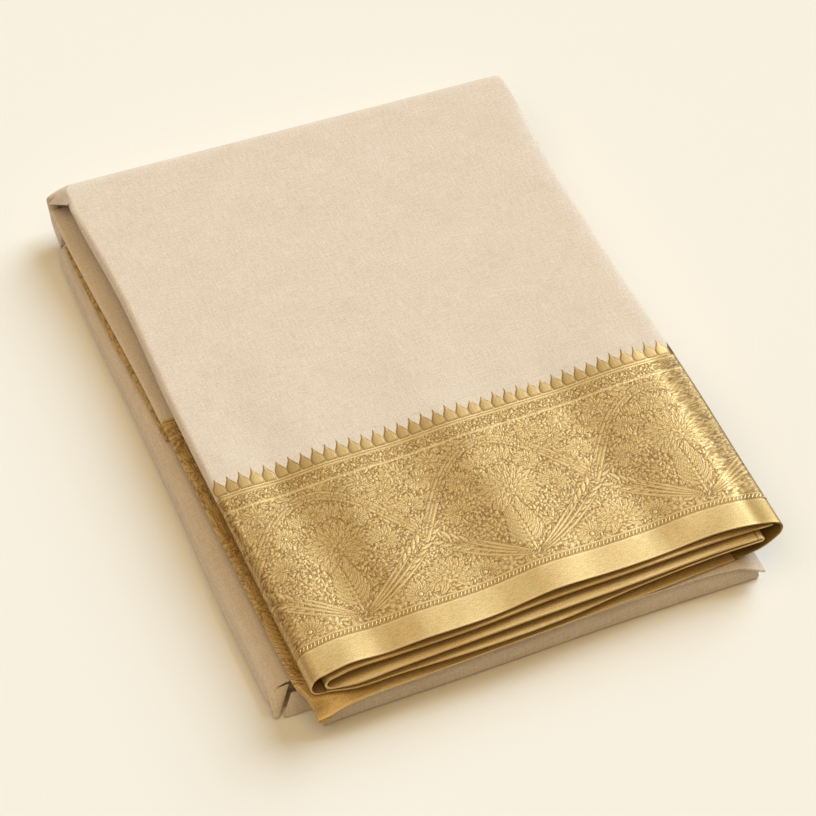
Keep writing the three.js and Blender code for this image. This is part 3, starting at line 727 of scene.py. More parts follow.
def gold_thread(u, v):
    """How high the gold thread floats at a place of the border."""
    shown = np.where(v < (FLOWER_TO + SCROLL_FROM) / 2, flowers.at(u, v), scroll.at(u, v))
    return np.where((v > FLOWER_FROM - 0.2) & (v < SCROLL_TO + 0.2), shown, 0.34)


def tinted(tree, colour, amount, tint):
    mixed = node(tree, "ShaderNodeMix", {0: amount, 6: colour}, data_type="RGBA", blend_type="MULTIPLY")
    mixed.inputs[7].default_value = (*tint, 1)
    return mixed.outputs[2]


def zari_border(name):
    """Gold thread on a gold ground. The bands are read from the cloth map's
    second coordinate, the figures from the weave itself, and `turned` tells
    where the gold is darkened by painted shade along the right turn. Each stop
    of the bands is a depth in millimetres, a tone, and 1 where the tone is the weave's own."""
    made = bpy.data.materials.new(name)
    made.use_nodes = True
    tree = made.node_tree
    surface = tree.nodes["Principled BSDF"]
    cloth = node(tree, "ShaderNodeUVMap", uv_map="cloth").outputs[0]
    apart = node(tree, "ShaderNodeSeparateXYZ", {0: cloth})
    thread = node(tree, "ShaderNodeAttribute", attribute_name="thread").outputs["Fac"]
    bands = node(tree, "ShaderNodeValToRGB", {0: maths(tree, "MULTIPLY", apart.outputs[1], 0.1)})
    bands.color_ramp.interpolation = "LINEAR"
    # the first half millimetre from each front edge has the brightest tone, a painted highlight along the
    # folded edges
    stops = [
        (0.0, 1.0, 0), (0.5, 1.0, 0), (0.9, 0.76, 0), (10.6, 0.76, 0), (10.9, 0.95, 0), (11.4, 0.95, 0),
        (LADDER_FROM, 0.34, 1), (LADDER_TO, 0.34, 1), (14.1, 0.9, 0), (14.6, 0.9, 0), (14.8, 0.5, 1),
        (77.8, 0.5, 1), (78.0, 1.0, 0), (78.8, 1.0, 0), (79.1, 0.3, 1), (84.3, 0.3, 1), (84.5, 1.0, 0),
        (85.1, 1.0, 0), (85.3, 0.25, 0), (85.7, 0.25, 0), (85.9, 1.0, 0), (86.6, 1.0, 0),
    ]
    ramp = bands.color_ramp.elements
    ramp[0].position = stops[0][0] / 100
    ramp[1].position = stops[-1][0] / 100
    for place, _, _ in stops[1:-1]:
        ramp.new(place / 100)
    for stop, (_, tone, worked) in zip(ramp, stops):
        stop.color = (tone, worked, 0, 1)
    split = node(tree, "ShaderNodeSeparateColor", {0: bands.outputs[0]})
    height = node(tree, "ShaderNodeMix", {0: split.outputs[1], 2: split.outputs[0], 3: thread}).outputs[0]
    rows = maths(tree, "SINE", maths(tree, "MULTIPLY", apart.outputs[1], 2 * math.pi / GOLD_PITCH))
    grain = noise(tree, stretched(tree, cloth, (4.0, 26.0, 1.0)), 1.0, 3.0)
    # fine random flecks: grain of the thread in the relief, and painted glints of the metal in the tone
    fleck_and_glint = noise(tree, cloth, 22.0, 2.0)
    worn = noise(tree, cloth, 0.7, 2.0)
    uneven = maths(tree, "MULTIPLY_ADD", past_half(tree, grain), 0.75, past_half(tree, fleck_and_glint))
    tone = maths(tree, "ADD", height, uneven)
    tone = maths(tree, "MULTIPLY_ADD", rows, 0.03, tone)
    colour = node(tree, "ShaderNodeValToRGB", {0: tone})
    shades = colour.color_ramp.elements
    shades[0].color = (*dye(*GOLD_GAP), 1)
    shades[1].position = 0.95
    shades[1].color = (*dye(*GOLD_THREAD), 1)
    shades.new(0.5).color = (*dye(*GOLD_GROUND), 1)
    patches = noise(tree, cloth, 2.6, 3.0)
    warmth = maths(tree, "MULTIPLY", maths(tree, "SUBTRACT", patches, 0.46), 2.6)
    aged = tinted(tree, colour.outputs[0], warmth, AGED_TINT)
    # painted shade along the right turn, laid on the colour where `turned` is set
    turned = node(tree, "ShaderNodeAttribute", attribute_name="turned").outputs["Fac"]
    tree.links.new(tinted(tree, aged, turned, RIGHT_TURN_SHADE_TINT), surface.inputs["Base Color"])
    gloss = maths(tree, "MULTIPLY_ADD", height, -0.1, 0.47)
    gloss = maths(tree, "MULTIPLY_ADD", past_half(tree, worn), 0.2, gloss)
    tree.links.new(gloss, surface.inputs["Roughness"])
    relief_height = maths(tree, "MULTIPLY_ADD", rows, 0.12, height)
    relief_height = maths(tree, "MULTIPLY_ADD", uneven, 0.8, relief_height)
    relief = node(tree, "ShaderNodeBump", {"Strength": 0.4, "Distance": 0.0001, "Height": relief_height})
    tree.links.new(relief.outputs[0], surface.inputs["Normal"])
    surface.inputs["Metallic"].default_value = 0.5
    surface.inputs["Specular IOR Level"].default_value = 0.4
    return made


gold_weave = zari_border("woven gold border")

INNER_LEVEL = 8.55
INNER_FROM = 128
INNER_TO = 236
INNER_DEEP = 9
inner_y = np.linspace(INNER_FROM, INNER_TO, 110)
inner_run = np.linspace(0, 1, 30)
inner_x, inner_rows_y = np.meshgrid(inner_run, inner_y)
inner_out = 1.1 * np.sin(math.pi * (inner_rows_y - INNER_FROM) / (INNER_TO - INNER_FROM))
inner_left = -5.1 - 0.7 * inner_out - 1.5 * smooth((inner_rows_y - 150) / 90)
inner_left += 0.18 * ripple(inner_rows_y, inner_rows_y * 0, 12, 22)
inner_flat_x = inner_left + (INNER_DEEP - inner_left) * inner_x
# its thread tone is raised by 0.3 over the top border's: painted light on a strip that lies in shade
inner_border = cloth_shell(
    "gold_inner_border",
    settle(inner_flat_x, inner_rows_y, INNER_LEVEL),
    np.stack([inner_rows_y, inner_flat_x + 40], -1) / 10,
    gold_weave, out=0.45, into=-0.45,
    woven={"thread": 0.3 + gold_thread(inner_rows_y, inner_flat_x + 40)})
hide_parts("inner_border")


# ---- Under panel ------------------------------------------------------------
# The layer below the border folds: a deep gold border in front and plain cloth
# behind it. It stands out past the top sheet on the left, is turned under there,
# and its front left corner hangs down in a point.
FRONT_LINES = [
    {"x": -4, "a": -4.2, "b": -4.4, "c": -4.4, "d": -4.2, "f": -9.6},
    {"x": 4, "a": -3.2, "b": -4.2, "c": -4.8, "d": -4.4, "f": -9.8},
    {"x": 15, "a": -1.5, "b": -2.7, "c": -6.4, "d": -6.6, "f": -9.5},
    {"x": 30, "a": -1.6, "b": -2.6, "c": -5.9, "d": -6.6, "f": -8.8},
    {"x": 60, "a": -1.2, "b": -2.2, "c": -4.9, "d": -7.2, "f": -7.4},
    {"x": 90, "a": 1.2, "b": -0.3, "c": -3.9, "d": -6.2, "f": -6.4},
    {"x": 120, "a": 1.5, "b": 0.3, "c": -2.9, "d": -3.0, "f": -5.0},
    {"x": 150, "a": 2.8, "b": 1.2, "c": -1.6, "d": -1.2, "f": -2.9},
    {"x": 168, "a": 1.2, "b": 0.8, "c": -2.2, "d": -2.0, "f": -2.2},
    {"x": 178, "a": -0.9, "b": 0.6, "c": -2.4, "d": -2.4, "f": -2.2},
]
LEVELS = [
    {"x": 2, "b": 18.4, "c": 14.9, "d": 13.2, "f": 11.3},
    {"x": 15, "b": 18.5, "c": 15.2, "d": 13.2, "f": 11.3},
    {"x": 30, "b": 18.4, "c": 15.7, "d": 13.3, "f": 11.2},
    {"x": 60, "b": 18.4, "c": 15.9, "d": 13.4, "f": 11.0},
    {"x": 120, "b": 18.4, "c": 16.0, "d": 13.5, "f": 10.6},
    {"x": 150, "b": 18.5, "c": 16.2, "d": 13.8, "f": 10.3},
    {"x": 160, "b": 18.6, "c": 16.6, "d": 14.5, "f": 10.3},
    {"x": 168, "b": 18.6, "c": 16.9, "d": 15.1, "f": 10.6},
    {"x": 176, "b": 18.5, "c": 17.0, "d": 15.2, "f": 11.0},
]
UNDER_LEFT = -4.0
UNDER_TURN = 0.75
UNDER_RIGHT = 157.7
UNDER_PANEL_DEPTH = 135.0
UNDER_SCROLL_FROM = 118
UNDER_RUNGS_APART = 1.5
UNDER_END = 253.6
UNDER_END_RIGHT = 3

under_top = float(column(LEVELS, "x", "f", UNDER_LEFT))
coarse_x = np.linspace(UNDER_RIGHT, 12, 70)
fine_x = np.linspace(12, UNDER_LEFT + UNDER_TURN, 40)[1:]
round_turn = np.radians(np.linspace(90, 270, 13))[1:]
under_x = np.concatenate([
    coarse_x, fine_x, UNDER_LEFT + UNDER_TURN * (1 + np.cos(round_turn)), [-1.8, -0.4, 1.0, 2.4]])
under_z = np.concatenate([
    column(LEVELS, "x", "f", coarse_x),
    column(LEVELS, "x", "f", fine_x),
    under_top - UNDER_TURN * (1 - np.sin(round_turn)),
    np.full(4, under_top - 2 * UNDER_TURN),
])


def under_points(y):
    """Rows of the under panel at depths `y`, one row for each first index."""
    x = np.broadcast_to(under_x, y.shape)
    z = np.broadcast_to(under_z, y.shape)
    forward = smooth((-2.6 - y) / 8)
    dip = blend(0.2, 0.9, smooth((110 - x) / 60))
    corner = blend(smooth((13 - x) / 15), np.clip((19 - x) / 22, 0, 1), 0.55)
    hang = 4.6 * corner * forward + dip * smooth(-y / 8)
    drift = 3.2 * smooth((8 - x) / 12) * smooth((5 - y) / 13)
    drift = drift - 1.6 * smooth((y - 150) / 90) * smooth((8 - x) / 12)
    return settle(x + drift, y, z - hang)


def run_along(points, start):
    """Length of cloth along each row of points, in millimetres."""
    step = np.linalg.norm(np.diff(points, axis=1), axis=-1) / MM
    total = np.concatenate([np.zeros((points.shape[0], 1)), np.cumsum(step, axis=1)], axis=1)
    return total + start


under_front = column(FRONT_LINES, "x", "f", under_x)
under_share = np.linspace(0, 1, 280)[:, None] ** 1.15
under_y = blend(under_front[None, :], UNDER_PANEL_DEPTH, under_share)
under_middle = under_points(under_y)
under_run = run_along(under_middle, 0)
under_depth = np.broadcast_to(UNDER_PANEL_DEPTH * under_share, under_y.shape)
under_shown = np.minimum(under_depth, 70 + 8 * under_depth / UNDER_PANEL_DEPTH)
under_behind = under_depth - UNDER_PANEL_DEPTH + TIP_BASE + 0.2
under_band = np.where(under_depth > UNDER_SCROLL_FROM, under_behind, under_shown)
under_place = np.stack([under_run, under_band], -1) / 10
slanted = 2 * math.pi * (under_depth - 0.5 * under_run) / UNDER_RUNGS_APART
under_rungs = 0.3 + 0.7 * (np.sin(slanted) > 0)
under_read = np.where(under_depth < FLOWER_TO, under_depth, FLOWER_FROM + under_depth * 0.46)
# the thread tone is raised by 0.12 over the top border's: painted light on the panel, which lies in shade
# under the layers above
under_thread = np.where(
    (under_depth > LADDER_FROM) & (under_depth < LADDER_TO), under_rungs,
    0.12 + gold_thread(under_run, under_read))
under_border = cloth_shell(
    "gold_under_border", under_middle, under_place, gold_weave,
    woven={"thread": under_thread})
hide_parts("under_border")

under_back_y = np.linspace(UNDER_PANEL_DEPTH + 0.02, PACK_END, 90)[:, None] + 0 * under_x[None, :]
under_back = under_points(under_back_y)
under_field = cloth_shell(
    "ecru_under_field", under_back,
    np.stack([run_along(under_back, 0), under_back_y], -1) / 10,
    ecru_cloth)
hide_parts("under_field")

# only the left edge of the panel goes on beside the back fold
strip = under_x < UNDER_END_RIGHT
strip_y = np.linspace(PACK_END + 0.02, UNDER_END, 20)[:, None] + 0 * under_x[None, :]
strip_back = under_points(strip_y)[:, strip]
under_end = cloth_shell(
    "ecru_under_end", strip_back,
    np.stack([run_along(strip_back, 160), strip_y[:, strip]], -1) / 10,
    ecru_cloth)
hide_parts("under_field")


# ---- Inner border folds -----------------------------------------------------
# Below the top sheet the gold border is pleated to and fro. The upper fold turns
# on the left in a small open roll, the lower one turns on the right.
FOLD_REACH = 36.0
FOLD_ROWS = 40
UPPER_FROM = 173.6
UPPER_TURN = 5.9
UPPER_TO = 166.4
LOWER_FROM = 166.7
LOWER_TURN = 167.9
LOWER_TO = 4.2


def fold_points(x, z, share, columns):
    """Rows of a fold from its front edge inwards. The front follows one line
    before the turn and another after it, as `share` goes from 0 to 1."""
    front = blend(
        column(FRONT_LINES, "x", columns[0], x), column(FRONT_LINES, "x", columns[1], x), share)
    step = np.linspace(0, 1, FOLD_ROWS)[:, None] ** 1.5
    y = blend(front[None, :], FOLD_REACH, step)
    depth = y - front[None, :]
    return settle(x[None, :], y, z[None, :]), depth


def fold_turn(at, columns, angles):
    """Places across and heights of the round turn from one level to the next."""
    top = float(column(LEVELS, "x", columns[0], at))
    low = float(column(LEVELS, "x", columns[1], at))
    radius = (top - low) / 2
    return at + radius * np.cos(angles), (top + low) / 2 + radius * np.sin(angles)


over_x = np.linspace(UPPER_FROM, UPPER_TURN, 150)
back_x = np.linspace(UPPER_TURN, UPPER_TO, 150)
turn_x, turn_z = fold_turn(UPPER_TURN, ("b", "c"), np.radians(np.linspace(90, 270, 25))[1:-1])
upper_x = np.concatenate([over_x, turn_x, back_x])
upper_z = np.concatenate([column(LEVELS, "x", "b", over_x), turn_z, column(LEVELS, "x", "c", back_x)])
upper_share = np.concatenate([np.zeros(150), np.linspace(0, 1, 25)[1:-1], np.ones(150)])
upper_middle, upper_depth = fold_points(upper_x, upper_z, upper_share, ("b", "c"))
upper_fold = cloth_shell(
    "gold_fold_upper", upper_middle,
    np.stack([run_along(upper_middle, 0), upper_depth], -1) / 10,
    gold_weave)
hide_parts("border_fold_upper")

forth_x = np.linspace(LOWER_TURN, LOWER_TO, 150)[1:]
turn_x, turn_z = fold_turn(LOWER_TURN, ("c", "d"), np.radians(np.linspace(90, -90, 21)))
lower_x = np.concatenate([[LOWER_FROM], turn_x, forth_x])
lower_z = np.concatenate([
    [float(column(LEVELS, "x", "c", LOWER_FROM))], turn_z, column(LEVELS, "x", "d", forth_x)])
lower_share = np.concatenate([[0], np.linspace(0, 1, 21), np.ones(149)])
lower_middle, lower_depth = fold_points(lower_x, lower_z, lower_share, ("c", "d"))
lower_fold = cloth_shell(
    "gold_fold_lower", lower_middle,
    np.stack([run_along(lower_middle, 0), lower_depth], -1) / 10,
    gold_weave)
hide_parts("border_fold_lower")


# ---- Layers inside ----------------------------------------------------------
# Behind the gold folds the plain cloth lies pleated between the top sheet and
# the under panel, layer on layer, and turns down inside the back fold.
CORE_OUTLINE = [
    (7.0, 12.25), (60, 12.25), (110, 12.25), (152, 12.25), (158, 13.1), (160.4, 13.7), (161.2, 14.4),
    (162.6, 14.7), (163.2, 15.6), (162.5, 16.2), (163.0, 17.0), (162.2, 18.0), (159, 18.9), (110, 18.9),
    (60, 18.9), (10, 18.9), (7.4, 18.5), (6.5, 17.8), (6.9, 17.2), (6.2, 16.8), (6.5, 16.2), (6.0, 15.7),
    (6.6, 15.1), (5.9, 14.6), (6.5, 14.0), (6.0, 13.5), (6.4, 12.7),
]
core_outline = np.array(CORE_OUTLINE)
core_rings = []
core_place = []
for y in np.linspace(FOLD_REACH + 0.3, PACK_END, 80):
    drawn_in = 8.4 * float(smooth((y - 200) / 24))
    x = np.where(core_outline[:, 0] > 140, core_outline[:, 0] - drawn_in, core_outline[:, 0])
    x = x + 0.16 * ripple(core_outline[:, 1] * 9, np.full(len(x), y), 21, 34) * (np.abs(x - 84) > 70)
    core_rings.append(settle(x, y, core_outline[:, 1]))
    girth = np.concatenate([[0], np.cumsum(np.linalg.norm(np.diff(core_outline, axis=0), axis=1))])
    core_place.append(np.stack([girth, np.full(len(girth), y)], -1) / 10)
folded_core = closed_roll(
    "ecru_folded_core", np.array(core_rings), np.array(core_place), ecru_cloth)
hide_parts("folded_core")

BACK_FOLD = [
    {"turn": 0, "back": 0.0, "z": 20.4},
    {"turn": 1, "back": 2.4, "z": 20.1},
    {"turn": 2, "back": 4.7, "z": 19.1},
    {"turn": 3, "back": 6.2, "z": 17.3},
    {"turn": 4, "back": 6.6, "z": 15.0},
    {"turn": 5, "back": 5.6, "z": 12.2},
    {"turn": 6, "back": 3.0, "z": 8.8},
    {"turn": 7, "back": -0.4, "z": 5.2},
    {"turn": 8, "back": -3.6, "z": 2.6},
    {"turn": 9, "back": -7.6, "z": 1.0},
]
FLAT_END = 251.6


def back_fold(share):
    """Place behind the flat end, height and direction of the back fold."""
    at = 9 * share
    near = 9 * np.maximum(share - 0.02, 0)
    far = 9 * np.minimum(share + 0.02, 1)
    step_back = column(BACK_FOLD, "turn", "back", far) - column(BACK_FOLD, "turn", "back", near)
    step_z = column(BACK_FOLD, "turn", "z", far) - column(BACK_FOLD, "turn", "z", near)
    length = np.hypot(step_back, step_z)
    return (
        column(BACK_FOLD, "turn", "back", at), column(BACK_FOLD, "turn", "z", at),
        step_back / length, step_z / length)


# place across, how far inside the top cloth, how full, and how high it stands
BACK_TURN_STATIONS = [
    (-6.4, 2.5, 0.72, 0.5), (-6.2, 2.5, 0.88, 0.5), (-5.8, 2.5, 0.96, 0.5), (-5.0, 2.5, 1, 0.5),
    (-2, 2.5, 1, 0.5), (2.6, 2.5, 1, 0.5), (4, 2.5, 1, 1), (6, 1.45, 1, 1), (30, 1.45, 1, 1),
    (60, 1.45, 1, 1), (90, 1.45, 1, 1), (120, 1.45, 1, 1), (154, 1.45, 1, 1), (156, 4.0, 1, 1),
    (171, 3.8, 1, 1), (172.2, 3.8, 0.75, 1),
]
turn_share = 0.02 + 0.84 * np.linspace(1 / 13, 1, 49)
turn_rings = []
turn_place = []
for x, inward, shrink, low in BACK_TURN_STATIONS:
    back, z, step_back, step_z = back_fold(turn_share)
    depth = inward + 0.28 * (0.5 + 0.5 * np.cos(np.linspace(0, 8 * math.pi, 49)))
    y = np.maximum(PACK_END + 1.2, FLAT_END + back + depth * step_z)
    z = z - depth * step_back
    y = np.concatenate([y, [PACK_END + 0.3, PACK_END + 0.3]])
    z = np.concatenate([z, [z[-1], 20.4 - inward]])
    y = blend(PACK_END + 0.3, blend(PACK_END + 5, y, shrink), 0.8 + 0.2 * low)
    turn_rings.append(settle(x, y, blend(2.8, blend(10.5, z, shrink), low)))
    turn_place.append(np.stack([np.full(51, x), np.linspace(0, 40, 51)], -1) / 10)
back_turn = closed_roll(
    "ecru_back_turn", np.array(turn_rings), np.array(turn_place), ecru_cloth)
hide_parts("back_turn")


# ---- Top sheet --------------------------------------------------------------
# One cloth, plain behind and gold in front. Its left edge is turned under, its
# right edge turns down to become the under panel, and at the back it folds down
# round the whole packet.
TOP_LEVEL = 20.4
TOP_LEFT = -0.9
FRONT_TURN_RADIUS = 3.6
BACK_TURN_RADIUS = 1.8
BORDER_SPAN = 95.4
BORDER_BACK = 94.3
BORDER_RISE = 3.4
RIGHT_TURN = [
    {"turn": 0, "x": 166, "depth": 0},
    {"turn": 1, "x": 171, "depth": 0.05},
    {"turn": 2, "x": 174.6, "depth": 0.5},
    {"turn": 3, "x": 176.0, "depth": 1.5},
    {"turn": 4, "x": 175.6, "depth": 2.9},
    {"turn": 5, "x": 173.4, "depth": 5.1},
    {"turn": 6, "x": 170.6, "depth": 7.2},
    {"turn": 7, "x": 166.8, "depth": 9.0},
    {"turn": 8, "x": 162, "depth": 9.9},
    {"turn": 9, "x": 158, "depth": 10.1},
]


def top_section(y, over_back, flat_steps):
    """Place across and depth below the top level, from the left edge turned
    under to the right edge, with the length of cloth counted from the flat."""
    radius = float(blend(FRONT_TURN_RADIUS, BACK_TURN_RADIUS, smooth((y - 34) / 50)))
    hollow = 2.0 * math.exp(-(((y - 190) / 42) ** 2))
    corner = float(2.0 * smooth(over_back / 0.22) - 6.8 * smooth((over_back - 0.28) / 0.22))
    left = TOP_LEFT + hollow + corner
    opening = float(smooth((y - 224) / 16))
    tuck = blend(1, 0.35, opening)
    angle = np.radians(np.linspace(-90, 90, 23))
    flat_x = np.linspace(left + radius, RIGHT_TURN[0]["x"], flat_steps + 1)[1:]
    turn = np.linspace(0, 9, 41)[1:]
    x = np.concatenate([
        left + radius + np.array([1.2, 0.8, 0.4]),
        left + radius * (1 - np.cos(angle)),
        flat_x,
        column(RIGHT_TURN, "turn", "x", turn),
    ])
    depth = np.concatenate([
        np.full(3, 2 * radius) * tuck,
        radius * (1 - np.sin(angle)) * tuck,
        np.zeros(flat_steps),
        column(RIGHT_TURN, "turn", "depth", turn) * blend(1, 0.3, opening),
    ])
    return x, depth


# soft ridges and troughs that run back from the front edge
SWELL = [
    {"x": 4, "z": 0.1},
    {"x": 12, "z": -0.05},
    {"x": 24, "z": -0.8},
    {"x": 33, "z": -0.3},
    {"x": 41, "z": 0.2},
    {"x": 54, "z": -0.15},
    {"x": 70, "z": -0.6},
    {"x": 80, "z": -0.15},
    {"x": 89, "z": 0.35},
    {"x": 107, "z": -0.2},
    {"x": 122, "z": -0.55},
    {"x": 133, "z": -0.75},
    {"x": 146, "z": 0.0},
    {"x": 157, "z": 0.42},
    {"x": 164, "z": 0.36},
    {"x": 170, "z": 0.0},
]


def swell(x, y):
    drifted = x + 0.05 * (y - 45)
    waves = column(SWELL, "x", "z", drifted) + 0.06 * ripple(x, y, 9, 17)
    return waves * (1 - 0.92 * smooth((y - 84) / 60)) * smooth((x - 3) / 6) * smooth((170 - x) / 5)


def border_end(x):
    """Where the woven border gives way to plain cloth."""
    return BORDER_BACK + BORDER_RISE * np.clip(x / PACKET_WIDTH, 0, 1)


CREASE_FROM = (-1.1, 246.0, 19.6)
CREASE_TO = (-5.3, 255.4, 13.2)
# two points of a section: the last of its turned edge and one well on the flat
HEM_POINTS = 24
FLAT_POINT = 40


def cloth_run(x, depth):
    """Length of cloth across, equal to x on the flat part of the section."""
    step = np.hypot(np.diff(x), np.diff(depth))
    total = np.concatenate([[0], np.cumsum(step)])
    return total - total[FLAT_POINT] + x[FLAT_POINT]


def open_corner(row, reach, hold):
    """Lets the turned left edge open out at the back corner, where it slopes
    down to the layers below. `reach` runs 0 to 1 along the crease."""
    edge = settle(*(blend(a, b, reach) for a, b in zip(CREASE_FROM, CREASE_TO)))
    ridge = row[HEM_POINTS]
    share = (np.linspace(1, 0, HEM_POINTS + 1) ** 0.9)[:, None]
    sloped = blend(ridge, edge, share)
    sloped[..., 2] += 0.5 * MM * np.sin(math.pi * share[:, 0]) * reach
    row[: HEM_POINTS + 1] = blend(row[: HEM_POINTS + 1], sloped, hold)
    return row


field_rows = []
field_place = []
for share in np.linspace(0, 1, 112):
    x, depth = top_section(blend(BORDER_BACK, FLAT_END, share), 0, 150)
    y = blend(border_end(x) + 0.02, FLAT_END, share)
    row = settle(x, y, TOP_LEVEL + swell(x, y) - depth)
    row_y = float(y[HEM_POINTS])
    reach = max(0.0, (row_y - 246) / 9.6)
    field_rows.append(open_corner(row, reach, float(smooth((row_y - 242) / 4.5))))
    field_place.append(np.stack([cloth_run(x, depth), y], -1) / 10)
for share in np.linspace(0, 1, 60)[1:]:
    x, depth = top_section(FLAT_END, share, 150)
    back, z, step_back, step_z = back_fold(share)
    row = settle(x, FLAT_END + back + depth * step_z, z - depth * step_back)
    reach = 0.583 + 0.417 * float(smooth(share / 0.24))
    field_rows.append(open_corner(row, reach, 1 - float(smooth((share - 0.26) / 0.24))))
    field_place.append(np.stack([cloth_run(x, depth), np.full(len(x), FLAT_END + 30 * share)], -1) / 10)
top_field = cloth_shell(
    "ecru_top_field", np.array(field_rows), np.array(field_place), ecru_cloth,
    out=0.55, into=0.0, thin=2)
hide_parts("top_field")


# ---- Gold border of the top sheet -------------------------------------------
# Woven with the cloth in gold thread: a plain satin selvedge, a ladder band, a
# broad flowered ground, a scroll band, and a row of small pointed tips.
def border_points(depths, flat_steps):
    """Middle of the border's cloth and its cloth map, one row for each depth."""
    rows = []
    place = []
    for border_depth in depths:
        share = border_depth / BORDER_SPAN
        x, depth = top_section(BORDER_BACK * float(share), 0, flat_steps)
        below = np.where(
            x < 90, column(FRONT_LINES, "x", "d", x), column(FRONT_LINES, "x", "f", x))
        front = blend(column(FRONT_LINES, "x", "a", x), below, smooth(depth / 4))
        y = blend(front, border_end(x), share)
        rows.append(settle(x, y, TOP_LEVEL + swell(x, y) - depth))
        place.append(np.stack([cloth_run(x, depth), np.full(len(x), border_depth)], -1) / 10)
    return np.array(rows), np.array(place)


def border_band(name, depths, flat_steps):
    middle, place = border_points(depths, flat_steps)
    thread = gold_thread(place[..., 0] * 10, place[..., 1] * 10)
    # along the right turn the gold is darkened: painted shade where the cloth turns down
    shade_from = 167.5 - 3.5 * smooth((20 - place[..., 1] * 10) / 10)
    turned = smooth((place[..., 0] * 10 - shade_from) / 5.5)
    middle = middle + surface_ways(middle) * (0.05 * (thread - 0.5))[..., None] * MM
    band = cloth_shell(
        name, middle, place, gold_weave, out=0.55, into=0.0, thin=4,
        woven={"thread": thread, "turned": turned})
    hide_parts("top_border")
    return band


selvedge_depths = [
    [0, 0.15], np.linspace(0.6, SELVEDGE_DEPTH, 14), np.linspace(SELVEDGE_DEPTH, FLOWER_FROM, 10)[1:]]
selvedge_band = border_band("gold_selvedge_band", np.concatenate(selvedge_depths), 220)
flower_band = border_band("gold_flower_band", np.linspace(FLOWER_FROM, FLOWER_TO, 153), 500)
scroll_depths = [np.linspace(FLOWER_TO, TIP_BASE, 25), np.linspace(TIP_BASE, BORDER_SPAN, 9)[1:]]
scroll_band = border_band("gold_scroll_band", np.concatenate(scroll_depths), 500)
# behind the scroll band and its line the ground is plain cloth again
scroll_band.data.materials.append(ecru_cloth)
scroll_map = scroll_band.data.uv_layers["cloth"].data
for face in scroll_band.data.polygons:
    if all(scroll_map[k].uv[1] * 10 > TIP_BASE - 0.01 for k in face.loop_indices):
        face.material_index = 1


# ---- Ladder band and pointed tips -------------------------------------------
# Both are floated gold thread standing a little proud of the cloth: slanted
# rungs between two fine lines at the selvedge, and leaf-shaped tips behind.
RUNG_LINE = 12.85
RUNG_COUNT = 128
RUNG_LENGTH = 2.2
RUNG_WIDTH = 0.78
RUNG_SLANT = math.radians(28)
TIP_COUNT = 39
TIP_HEIGHT = 8.0
TIP_HALF = 2.42
TIP_PROFILE = [
    (0, 0.86), (0.1, 0.97), (0.24, 1.0), (0.38, 0.96), (0.5, 0.8), (0.62, 0.54), (0.76, 0.27),
    (0.9, 0.11), (1, 0.03)]
ROW_LIFT = 0.58
# places of the cloth map where the gold weave has the tones of these threads
RUNG_AT = 0.74
TIP_EDGE_AT = 8.55
TIP_FILL_AT = 8.527


def raised_shape(name, outline, heights, middle, tones):
    """A small raised figure: rings of the outline drawn in towards its middle."""
    outline = np.array(outline)
    middle = np.array(middle)
    points = []
    place = []
    for shrink, height, tone in zip((1.0, 0.84, 0.62), heights, tones):
        ring = middle + (outline - middle) * shrink
        points += [(x * MM, y * MM, height * MM) for x, y in ring]
        place += [(x / 10, tone) for x, y in ring]
    points.append((middle[0] * MM, middle[1] * MM, heights[-1] * MM))
    place.append((0.0, tones[-1]))
    count = len(outline)
    faces = []
    for ring in range(2):
        for k in range(count):
            a = ring * count + k
            b = ring * count + (k + 1) % count
            faces.append((a, b, b + count, a + count))
    for k in range(count):
        faces.append((2 * count + k, 2 * count + (k + 1) % count, 3 * count))
    mesh = bpy.data.meshes.new(name)
    mesh.from_pydata(points, [], faces)
    layer = mesh.uv_layers.new(name="cloth")
    for loop in mesh.loops:
        layer.data[loop.index].uv = place[loop.vertex_index]
    mesh.polygons.foreach_set("use_smooth", [True] * len(mesh.polygons))
    shape = bpy.data.objects.new(name, mesh)
    bpy.context.collection.objects.link(shape)
    return shape


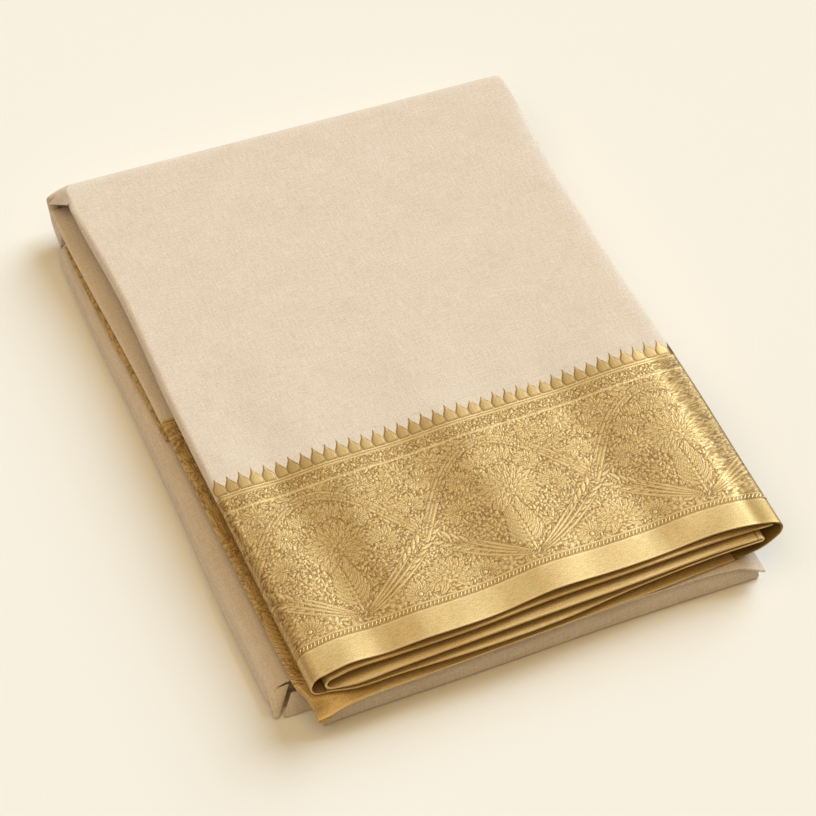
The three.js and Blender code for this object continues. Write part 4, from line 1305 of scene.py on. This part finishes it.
def row_tree():
    """Sets copies of a shape along a guide line, standing on the cloth."""
    tree = bpy.data.node_groups.new("row along the cloth", "GeometryNodeTree")
    for label, kind in (
        ("Guide", "NodeSocketGeometry"), ("Count", "NodeSocketInt"), ("Shape", "NodeSocketObject"),
        ("Unevenness", "NodeSocketFloat"), ("Seed", "NodeSocketInt"), ("Thread", "NodeSocketMaterial"),
    ):
        tree.interface.new_socket(label, in_out="INPUT", socket_type=kind)
    tree.interface.new_socket("Row", in_out="OUTPUT", socket_type="NodeSocketGeometry")
    given = tree.nodes.new("NodeGroupInput").outputs
    line = node(tree, "GeometryNodeMeshToCurve", {0: given["Guide"]}).outputs[0]
    spaced = node(
        tree, "GeometryNodeResampleCurve", {"Curve": line, "Count": given["Count"]},
        mode="COUNT").outputs[0]
    face = node(
        tree, "GeometryNodeInputNamedAttribute", {"Name": "face"}, data_type="FLOAT_VECTOR").outputs[0]
    tangent = tree.nodes.new("GeometryNodeInputTangent").outputs[0]
    upright = node(tree, "FunctionNodeAlignRotationToVector", {"Vector": face}, axis="Z").outputs[0]
    turned = node(
        tree, "FunctionNodeAlignRotationToVector", {"Rotation": upright, "Vector": tangent},
        axis="X", pivot_axis="Z").outputs[0]
    least = maths(tree, "SUBTRACT", 1.0, given["Unevenness"])
    most = maths(tree, "ADD", 1.0, given["Unevenness"])
    size = node(
        tree, "FunctionNodeRandomValue", {2: least, 3: most, "Seed": given["Seed"]},
        data_type="FLOAT").outputs[1]
    shape = node(
        tree, "GeometryNodeObjectInfo", {0: given["Shape"]}, transform_space="ORIGINAL").outputs["Geometry"]
    row = node(tree, "GeometryNodeInstanceOnPoints", {
        "Points": spaced, "Instance": shape, "Rotation": turned, "Scale": size}).outputs[0]
    whole = node(tree, "GeometryNodeRealizeInstances", {0: row}).outputs[0]
    finished = node(
        tree, "GeometryNodeSetMaterial", {"Geometry": whole, "Material": given["Thread"]}).outputs[0]
    tree.links.new(finished, tree.nodes.new("NodeGroupOutput").inputs[0])
    return tree


row_along = row_tree()


def row_on_border(name, shape, depth, first, last, count, unevenness, seed):
    """A row of `shape` at one depth of the border, between two places across."""
    middle, place = border_points([depth - 0.4, depth, depth + 0.4], 400)
    way = surface_ways(middle)[1]
    run = place[1, :, 0] * 10
    kept = (run >= first) & (run <= last)
    points = (middle[1] + way * ROW_LIFT * MM)[kept]
    mesh = bpy.data.meshes.new("guide")
    mesh.from_pydata(points.tolist(), [(k, k + 1) for k in range(len(points) - 1)], [])
    mesh.attributes.new("face", "FLOAT_VECTOR", "POINT").data.foreach_set(
        "vector", way[kept].astype(np.float32).ravel())
    guide = bpy.data.objects.new("guide", mesh)
    bpy.context.collection.objects.link(guide)
    modifier = guide.modifiers.new("row", "NODES")
    modifier.node_group = row_along
    chosen = {
        "Count": count, "Shape": shape, "Unevenness": unevenness, "Seed": seed, "Thread": gold_weave}
    for item in row_along.interface.items_tree:
        if item.in_out == "INPUT" and item.name in chosen:
            modifier[item.identifier] = chosen[item.name]
    depsgraph = bpy.context.evaluated_depsgraph_get()
    plain = bpy.data.meshes.new_from_object(guide.evaluated_get(depsgraph), depsgraph=depsgraph)
    plain.name = name
    plain.materials.clear()
    plain.materials.append(gold_weave)
    plain.polygons.foreach_set("material_index", [0] * len(plain.polygons))
    row = bpy.data.objects.new(name, plain)
    bpy.context.collection.objects.link(row)
    bpy.data.objects.remove(guide)
    bpy.data.objects.remove(shape)
    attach(row, "root")
    return row


rung_outline = []
for k in range(10):
    around = 2 * math.pi * k / 10
    x = math.cos(around) * RUNG_WIDTH / 2
    y = math.sin(around) * RUNG_LENGTH / 2
    rung_outline.append((x + y * math.tan(RUNG_SLANT), y))
rung = raised_shape("rung", rung_outline, (-0.08, 0.1, 0.14), (0, 0), (RUNG_AT,) * 3)
ladder_rungs = row_on_border("gold_ladder_rungs", rung, RUNG_LINE, -2.0, 178.0, RUNG_COUNT, 0.06, 7)

tip_right = [(half * TIP_HALF, up * TIP_HEIGHT) for up, half in TIP_PROFILE]
tip_left = [(-x, y) for x, y in reversed(tip_right)]
tip = raised_shape(
    "tip", tip_right + tip_left, (0.0, 0.04, 0.06), (0, TIP_HEIGHT * 0.38),
    (TIP_EDGE_AT, TIP_EDGE_AT, TIP_FILL_AT))
pointed_tips = row_on_border("gold_pointed_tips", tip, TIP_BASE - 0.1, 0.8, 176.5, TIP_COUNT, 0.05, 11)
